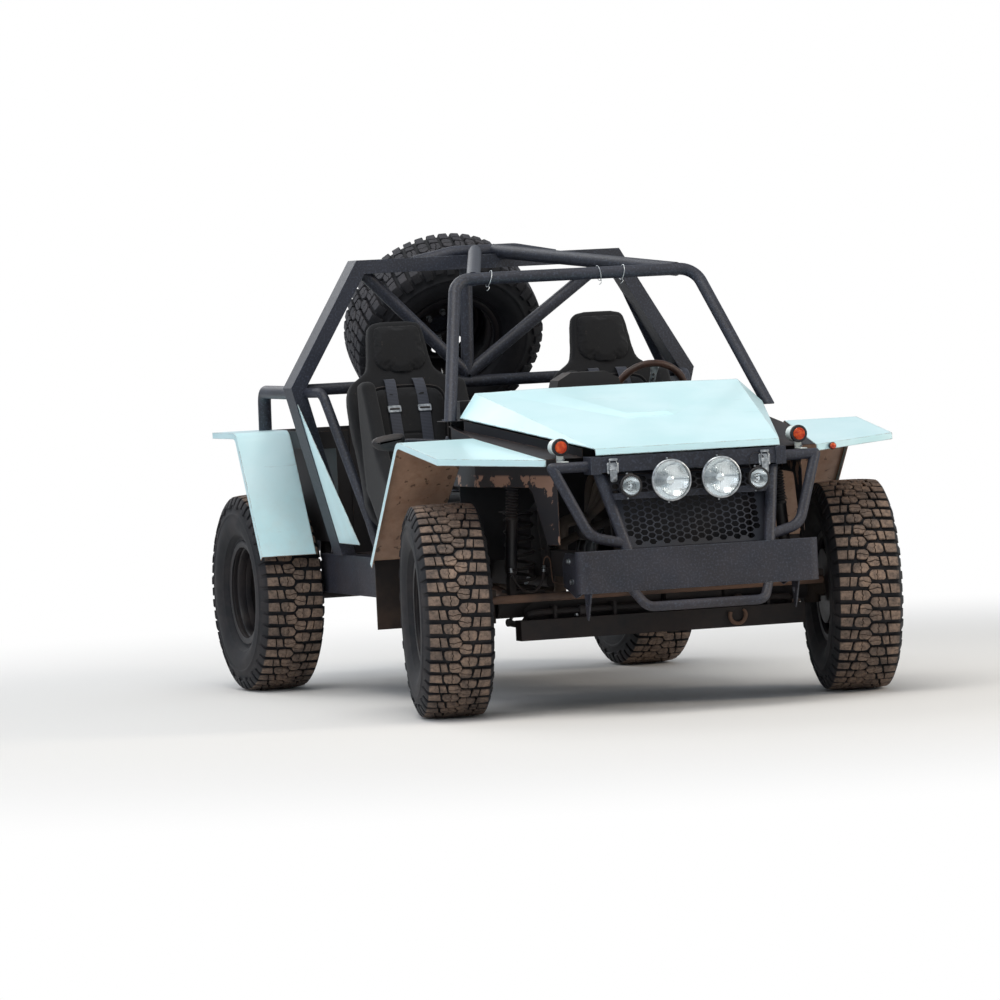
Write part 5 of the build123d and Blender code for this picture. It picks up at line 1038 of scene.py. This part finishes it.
for back in (-150, 0, 150):
    turned(shape, [(-136, 0), (-136, 22), (136, 22), (136, 0)], at(0, back, 800), 2, 28)
plate(shape, rounded([(-118, 680), (118, 680), (150, 860), (110, 930), (-90, 930), (-110, 860)], 1), 16, 4,
      at(0, -268, 0) @ faceFront, 1)
for x, z, r in engine["pulleys"]:
    turned(shape, [(16, 0), (16, r - 9), (20, r), (24, r), (27, r - 7), (30, r), (34, r), (38, r - 9), (38, 0)],
           at(x, -270, z) @ forward, 2, 40)
loop = [here(x, -297, z) for x, z in engine["belt"]]
bentRod(shape, eased(loop, 4, loop=True), 5.5, finish=3, sides=8, loop=True)
hub = at(0, -308, 846) @ forward
turned(shape, [(0, 0), (0, 30), (26, 26), (26, 0)], hub, 1, 24)
for k in range(7):      # twisted fan blades
    blade = hub @ Matrix.Rotation(k * tau / 7, 4, "X") @ shiftTo((13, 0, 0)) @ Matrix.Rotation(0.5, 4, "Z") @ alongZ
    plate(shape, rounded([(24, -16), (118, -30), (124, 26), (24, 16)], 1), 3, 1, blade @ faceFront, 3)
# alternator
turned(shape, [(-60, 0), (-60, 40), (-50, 54), (46, 54), (56, 40), (56, 0)], at(118, -196, 872) @ forward, 1, 32)
for back in engine["ports"]:
    pipe(shape, [(100, back, 925), (150, back, 930), (176, back, 950), (182, back, 978)], 5, 17, finish=1, sides=16)
    down = 0.5 * (back + 150)
    pipe(shape, [(-100, back, 915), (-148, back, 915), (-172, back * 0.8 + 30, 880), (-184, down, 810),
                 (-190, 150, 752)], 5, 17, finish=4, sides=16)
    for x, z in ((120, 925), (-120, 915)):
        plate(shape, roundedBox(60, 50, 14), 9, 2, at(x - 4, back, z) @ alongX)
turned(shape, [(-230, 0), (-226, 24), (-214, 31), (214, 31), (226, 24), (230, 0)], at(182, 0, 978) @ forward, 1, 32)
pipe(shape, [(182, -225, 978), (200, -262, 970), (262, -262, 940), (318, -240, 925)], 6, 30, finish=3, sides=20)
can = at(330, -240, 925) @ rearward
fold = [(0, 0), (0, 62), (8, 68)]
for k in range(9):
    fold += [(16 + 22 * k, 68), (20 + 22 * k, 64), (27 + 22 * k, 64), (31 + 22 * k, 68)]
turned(shape, fold + [(230, 68), (238, 60), (238, 0)], can, 3, 40)
panel(shape, [(262, -120, 850), (400, -120, 850), (400, -84, 850), (262, -84, 850)], 4)
for x in (268, 392):
    pipe(shape, [(x, -102, 852), (x, -102, 925), (330 + (x - 330) * 0.5, -102, 990), (330, -102, 996)], 4, 4,
         finish=2, sides=8)
pipe(shape, [(270, -102, 850), (140, -102, 842)], 1, 9, sides=10)
# top water hose
pipe(shape, [(0, -262, 905), (-60, -300, 905), (-150, -345, 890), (-180, -382, 880)], 6, 20, finish=3, sides=18)
for side in (1, -1):        # engine mounts: a bushed arm to each rail
    pipe(shape, [(side * 128, 40, 742), (side * 250, 40, 700), (side * 386, 40, 640)], 1, 17, sides=14)
    turned(shape, [(-34, 0), (-34, 30), (-28, 36), (28, 36), (34, 30), (34, 0)], at(side * 250, 40, 700) @ forward, 3,
           28)
    panel(shape, [(side * 400 - 38, 0, 637), (side * 400 + 28, 0, 637), (side * 400 + 28, 80, 637),
                  (side * 400 - 38, 80, 637)], 7)
turned(shape, [(268, 128), (282, 132), (296, 128), (330, 96), (360, 90), (700, 86), (716, 92), (728, 92), (744, 80),
               (1080, 62), (1092, 48), (1092, 0), (268, 0)],
       at(0, 0, 598) @ rearward, 1, 40)
for back in (420, 500, 580, 660):
    turned(shape, [(back, 84), (back + 3, 95), (back + 9, 95), (back + 12, 84)], at(0, 0, 598) @ rearward, 1, 40,
           ring=True)
makePiece("engine_and_gearbox", shape, ["castIron", "castAluminium", "zincPlate", "bootRubber", "aluminisedSteel"],
          ["engine_block"], crease=32)

# Mirrors: a creased housing on a bent arm with a swivel ball, its glass facing back; the driver's hangs lower
mirrors = {"outline": [(-66, -8), (-28, -36), (64, -34), (74, 18), (58, 36), (-34, 24), (-62, 10)]}
shape = blank()
for side, z, x in ((-1, 1086, 905), (1, 1008, 958)):
    shellPlace = at(side * x, 518, z) @ faceFront     # Y is up, Z forward
    outline = [(-side * u, v) for u, v in mirrors["outline"]]
    outline = rounded(outline if side < 0 else outline[::-1], 1)
    rings = [(-8, 0.0), (0, 2.0), (14, -1.0), (28, 5), (36, 14), (39, 24)]
    count = len(outline)
    points = [(p[0], p[1], out) for out, inset in rings for p in drawnIn(outline, inset)]
    faces = [[r * count + i, r * count + (i + 1) % count, (r + 1) * count + (i + 1) % count, (r + 1) * count + i]
             for r in range(len(rings) - 1) for i in range(count)]
    put(shape, points, faces + [list(range(count)), [(len(rings) - 1) * count + i for i in range(count)]], shellPlace)
    plate(shape, [tuple(p) for p in drawnIn(outline, 6)], 2, 0.5, shellPlace @ shiftTo((0, 0, -9.6)), 1)
    arm = [here(side * 662, 470, z - 10), here(side * 720, 486, z - 6), here(side * 800, 506, z + 2),
           here(side * (x - 52), 512, z)]
    bentRod(shape, eased(arm, 6), 8, finish=2, sides=14)
    turned(shape, [(-13, 0), (-11, 8), (-5, 13), (5, 13), (11, 8), (13, 0)], shiftTo(arm[-1]), 2, 24)
    turned(shape, [(0, 0), (0, 22), (5, 22), (9, 12), (9, 0)],
           shiftTo(arm[0]) @ (Matrix.Identity(4) if side > 0 else Matrix.Rotation(pi, 4, "Z")), 2, 28)
makePiece("door_mirrors", shape, ["grainedAbs", "vacuumChrome", "texturedPowderCoat"], ["mirrors"],
          crease=32)

# Rear body: a framed tailgate with over-centre latches, a row of fixing bolts and strap hinges
tail = {"back": 2715, "half": 640, "low": 690, "high": 1000}
shape = blank()
gate = at(0, tail["back"], (tail["low"] + tail["high"]) / 2) @ faceRear
plate(shape, roundedBox(2 * tail["half"], tail["high"] - tail["low"], 26), 3, 1, gate)
inner = at(0, tail["back"] + 3, (tail["low"] + tail["high"]) / 2) @ faceRear
for width, x in ((540, -305), (540, 305)):
    plate(shape, roundedBox(width, 210, 22), 7, 5, inner @ shiftTo((x, 0, 0)))
for x in range(-600, 601, 120):
    for z in (tail["low"] + 14, tail["high"] - 14):
        hexHead(shape, at(x, tail["back"] + 3, z) @ faceRear, 11, 5, 1)
for x in (-420, 420):
    lock = at(x, tail["back"] + 3, tail["high"] - 34) @ faceRear
    plate(shape, roundedBox(46, 52, 8), 3, 1, lock @ shiftTo((0, 6, 6)), 1)
    plate(shape, roundedBox(24, 66, 9), 3, 1, lock @ shiftTo((0, 14, 12)), 1)
    bentRod(shape, eased([lock @ Vector(p) for p in ((-13, 10, 12), (-13, -24, 12), (0, -34, 9), (13, -24, 12),
                                                     (13, 10, 12))], 4), 2.2, finish=1, sides=8)
for x in (-500, 0, 500):
    plate(shape, roundedBox(54, 80, 10), 4, 1, at(x, tail["back"] + 3, tail["low"] + 24) @ faceRear, 2)
    pipe(shape, [(x - 30, tail["back"] + 8, tail["low"] - 4), (x + 30, tail["back"] + 8, tail["low"] - 4)], 1, 7,
         finish=2, sides=14)
makePiece("tailgate_fittings", shape, ["blackSheetPaint", "zincPlate", "texturedPowderCoat"], crease=30)
print("front and rear fittings ready")

# Seats: a cloth-covered bucket with swollen pads in it, piping round the pads, and a four-point harness.
# Seat places are (across, up the backrest, out of its face) or (across, back from its foot, up from the base)
seat = {"xs": (400, -505), "names": ("left", "right"), "foot": 1330, "base": 705, "lean": 17, "thick": 70,
        "bodyVoxelMm": 8, "padVoxelMm": 7, "pressure": 4.0, "frames": 20, "capMm": 9,
        "back": [(0, 8), (226, 8), (230, 300), (247, 440), (248, 620), (170, 672), (138, 700), (120, 872), (98, 898),
                 (0, 900)],
        "wing": [(-466, 4), (-466, 140), (-440, 158), (-165, 216), (22, 596), (60, 620), (150, 598), (22, 4)],
        "lumbar": [(-146, 70), (146, 70), (150, 330), (172, 500), (168, 580), (120, 612), (-120, 612), (-168, 580),
                   (-172, 500), (-150, 330)],
        "head": [(-128, 668), (128, 668), (104, 862), (84, 882), (-84, 882), (-104, 862)],
        "cushion": [(-146, -452), (146, -452), (150, -40), (-150, -40)],
        "seam": 5, "lumbarSeams": (92, (232, 400)), "cushionSeams": (88, (-330, -180))}
lean = radians(seat["lean"])
onBack = Matrix(((1, 0, 0, 0), (0, sin(lean), -cos(lean), 0), (0, cos(lean), sin(lean), 0), (0, 0, 0, 1)))
onBase = Matrix.Identity(4)


def remeshed(shape, voxelMm, smoothing):        # one closed skin round the shape's solids, in metres
    piece = addObject("blank", meshOf(shape, "blank"))
    skin = piece.modifiers.new("skin", "REMESH")
    skin.mode = "VOXEL"
    skin.voxel_size = voxelMm * mm
    soften = piece.modifiers.new("soften", "SMOOTH")
    soften.iterations = smoothing
    return settled(piece)


def settled(piece):     # the piece's mesh with its modifiers applied
    graph = bpy.context.evaluated_depsgraph_get()
    mesh = bpy.data.meshes.new_from_object(piece.evaluated_get(graph))
    bpy.data.objects.remove(piece)
    return mesh


def swollen(mesh):      # the pad's cover blown up by its foam, with no point moved further than the cap
    start = [v.co.copy() for v in mesh.vertices]
    piece = addObject("swelling", mesh)
    cover = piece.modifiers.new("cover", "CLOTH")
    cover.settings.use_pressure = True
    cover.settings.uniform_pressure_force = seat["pressure"]
    cover.settings.effector_weights.gravity = 0
    cover.point_cache.frame_end = seat["frames"]
    for step in range(1, seat["frames"] + 1):
        bpy.context.scene.frame_set(step)
    result = settled(piece)
    for vertex, spot in zip(result.vertices, start):
        move = vertex.co - spot
        vertex.co = spot + move * min(1, seat["capMm"] * mm / max(move.length, 1e-9))
    bpy.context.scene.frame_set(1)
    return result


def seatBody():
    shape = blank()
    half = seat["back"]
    outline = rounded(half + [(-x, v) for x, v in reversed(half)])
    plate(shape, outline, seat["thick"] - 4, 10, onBack @ shiftTo((0, 0, 4 - seat["thick"])))
    profile = rounded(seat["wing"], 1)
    for x in (-228, 166):       # the wing's outline is (back, up), its thickness runs across
        place = Matrix(((0, 0, 1, x), (1, 0, 0, 0), (0, 1, 0, 0), (0, 0, 0, 1)))
        plate(shape, profile[::-1], 62, 14, place)
    plate(shape, rounded([(-226, -466), (226, -466), (226, 16), (-226, 16)], 1), 104, 14, shiftTo((0, 0, 4)))
    return remeshed(shape, seat["bodyVoxelMm"], 8)


def seamPull(x, y, half, across):       # a sewn channel each side of the middle and some across, 5 mm at the most
    fall = [x - half] + [y - v for v in across if x < half]
    return seat["seam"] * min(sum(exp(-(gap / seat["seam"]) ** 2) for gap in fall), 1)


def seatPads():
    shape = blank()
    plate(shape, rounded(seat["lumbar"]), 30, 8, onBack @ shiftTo((0, 0, -8)))
    plate(shape, rounded(seat["head"]), 20, 6, onBack @ shiftTo((0, 0, -9)))
    plate(shape, rounded(seat["cushion"], 3), 38, 10, shiftTo((0, 0, 96)))
    mesh = remeshed(shape, seat["padVoxelMm"], 5)
    mesh = swollen(mesh)
    piece = addObject("padBlank", mesh)
    piece.modifiers.new("fine", "SUBSURF").levels = 1
    mesh = settled(piece)
    backward = onBack.inverted()
    for vertex in mesh.vertices:    # sewn channels, pulled in after the swelling
        spot = backward @ (vertex.co / mm)
        if spot.z > 6 and 80 < spot.y < 610:        # the lumbar pad's face: two seams up it, two across
            pull = seamPull(abs(spot.x), spot.y, *seat["lumbarSeams"])
            vertex.co += onBack.to_3x3() @ Vector((0, 0, -pull)) * mm
        elif vertex.co.z > 120 * mm and vertex.co.y < -0.03 and spot.y < 200:
            vertex.co.z -= seamPull(abs(vertex.co.x / mm), vertex.co.y / mm, *seat["cushionSeams"]) * mm
    return mesh


def finishSkin(mesh, finish):
    mesh.materials.clear()
    mesh.materials.append(materials[finish])
    mesh.polygons.foreach_set("use_smooth", [True] * len(mesh.polygons))
    return mesh


def strap(shape, path, width, thickness=2.2, finish=0):     # path of (point, the way its outer face looks)
    points, faces = [], []
    for i, (spot, out) in enumerate(path):
        run = (path[min(i + 1, len(path) - 1)][0] - path[max(i - 1, 0)][0]).normalized()
        out = (out - run * out.dot(run)).normalized()
        across = out.cross(run)
        for x, z in ((-0.5, 0.3), (-0.47, 1), (0.47, 1), (0.5, 0.3), (0.47, 0), (-0.47, 0)):
            points.append(spot + across * width * x + out * thickness * z)
    for i in range(len(path) - 1):
        faces += [[6 * i + k, 6 * i + (k + 1) % 6, 6 * i + 6 + (k + 1) % 6, 6 * i + 6 + k] for k in range(6)]
    last = 6 * (len(path) - 1)
    put(shape, points, faces + [list(range(6)), [last + k for k in range(6)]], None, finish)


webbing = {"back": [(62, 645, -5), (62, 640, 6), (63, 622, 17), (65, 580, 27), (66, 480, 33), (62, 330, 34),
                    (52, 210, 36), (42, 165, 44)], "chest": [(34, -78, 152), (24, -120, 146), (14, -150, 146)],
           "hip": [(150, -70, 128), (128, -82, 143), (80, -110, 147), (36, -150, 146), (20, -160, 146)],
           "shoulderWidth": 48, "hipWidth": 46, "buckle": (0, -160, 146)}


def seatHarness():
    shape = blank()
    faceOut = onBack.to_3x3() @ Vector((0, 0, 1))
    up = Vector((0, 0, 1))
    for side in (1, -1):
        line = [onBack @ Vector((side * x, y, z)) for x, y, z in webbing["back"]]
        line += [Vector((side * x, y, z)) for x, y, z in webbing["chest"]]
        ways = [faceOut] * 7 + [(faceOut + up).normalized(), (faceOut + up * 2).normalized(), up, up]
        smooth = eased(line, 5)
        path = []
        for k, spot in enumerate(smooth):
            a, t = min(k // 5, len(ways) - 1), k % 5 / 5
            path.append((spot, ways[a].lerp(ways[min(a + 1, len(ways) - 1)], t).normalized()))
        strap(shape, path, webbing["shoulderWidth"])
        slider = onBack @ shiftTo((side * 66, 505, 35.5))
        plate(shape, roundedBox(58, 30, 6), 4, 1.2, slider, 2)
        plate(shape, roundedBox(44, 8, 3), 7, 1.2, slider, 1)
        belt = eased([Vector((side * x, y, z)) for x, y, z in webbing["hip"]], 6)
        strap(shape, [(spot, (up + Vector((side * 0.25 * (k < 8), 0, 0))).normalized())
                      for k, spot in enumerate(belt)], webbing["hipWidth"])
    middle = shiftTo(webbing["buckle"])
    turned(shape, [(0, 0), (0, 30), (4, 32), (12, 32), (16, 28), (16, 20), (19, 18), (19, 0)], middle @ alongZ, 1, 40)
    plate(shape, roundedBox(46, 9, 4), 6, 1.5, middle @ shiftTo((0, 0, 18.5)), 2)
    for k in range(4):
        a = radians(45 + 90 * k)
        tongue = middle @ shiftTo((33 * cos(a), 33 * sin(a), 3)) @ Matrix.Rotation(a, 4, "Z")
        plate(shape, roundedBox(26, 22, 3), 3, 0.8, tongue, 2)
    return shape


def padPiping():
    shape = blank()
    for outline, plane, out in ((seat["lumbar"], onBack, 7), (seat["cushion"], onBase, 109)):
        edge = [plane @ Vector((p.x, p.y, out)) for p in (drawnIn(rounded(outline, 2 if out < 50 else 3), -3))]
        bentRod(shape, edge, 3.2, sides=8, loop=True)
    return shape


bodySkin = finishSkin(seatBody(), "knittedCloth")
padSkin = finishSkin(seatPads(), "knittedCloth")
harness, piping = seatHarness(), padPiping()
for x, name in zip(seat["xs"], seat["names"]):
    place = at(x, seat["foot"], seat["base"])
    bucket = makePiece("seat_bucket_" + name, bodySkin, [], ["seat_" + name], place)
    pads = makePiece("seat_pads_" + name, padSkin, [], (), place)
    made["piping"] = makePiece("seat_piping_" + name, made["piping"].data if "piping" in made else piping,
                               ["grainedAbs"], (), place)
    made["harness"] = makePiece("seat_harness_" + name, made["harness"].data if "harness" in made else harness,
                                ["polyesterWebbing", "grainedAbs", "zincPlate"], (), place, crease=40)
print("seats ready,", len(bodySkin.polygons), "and", len(padSkin.polygons), "faces")

bpy.context.view_layer.update()
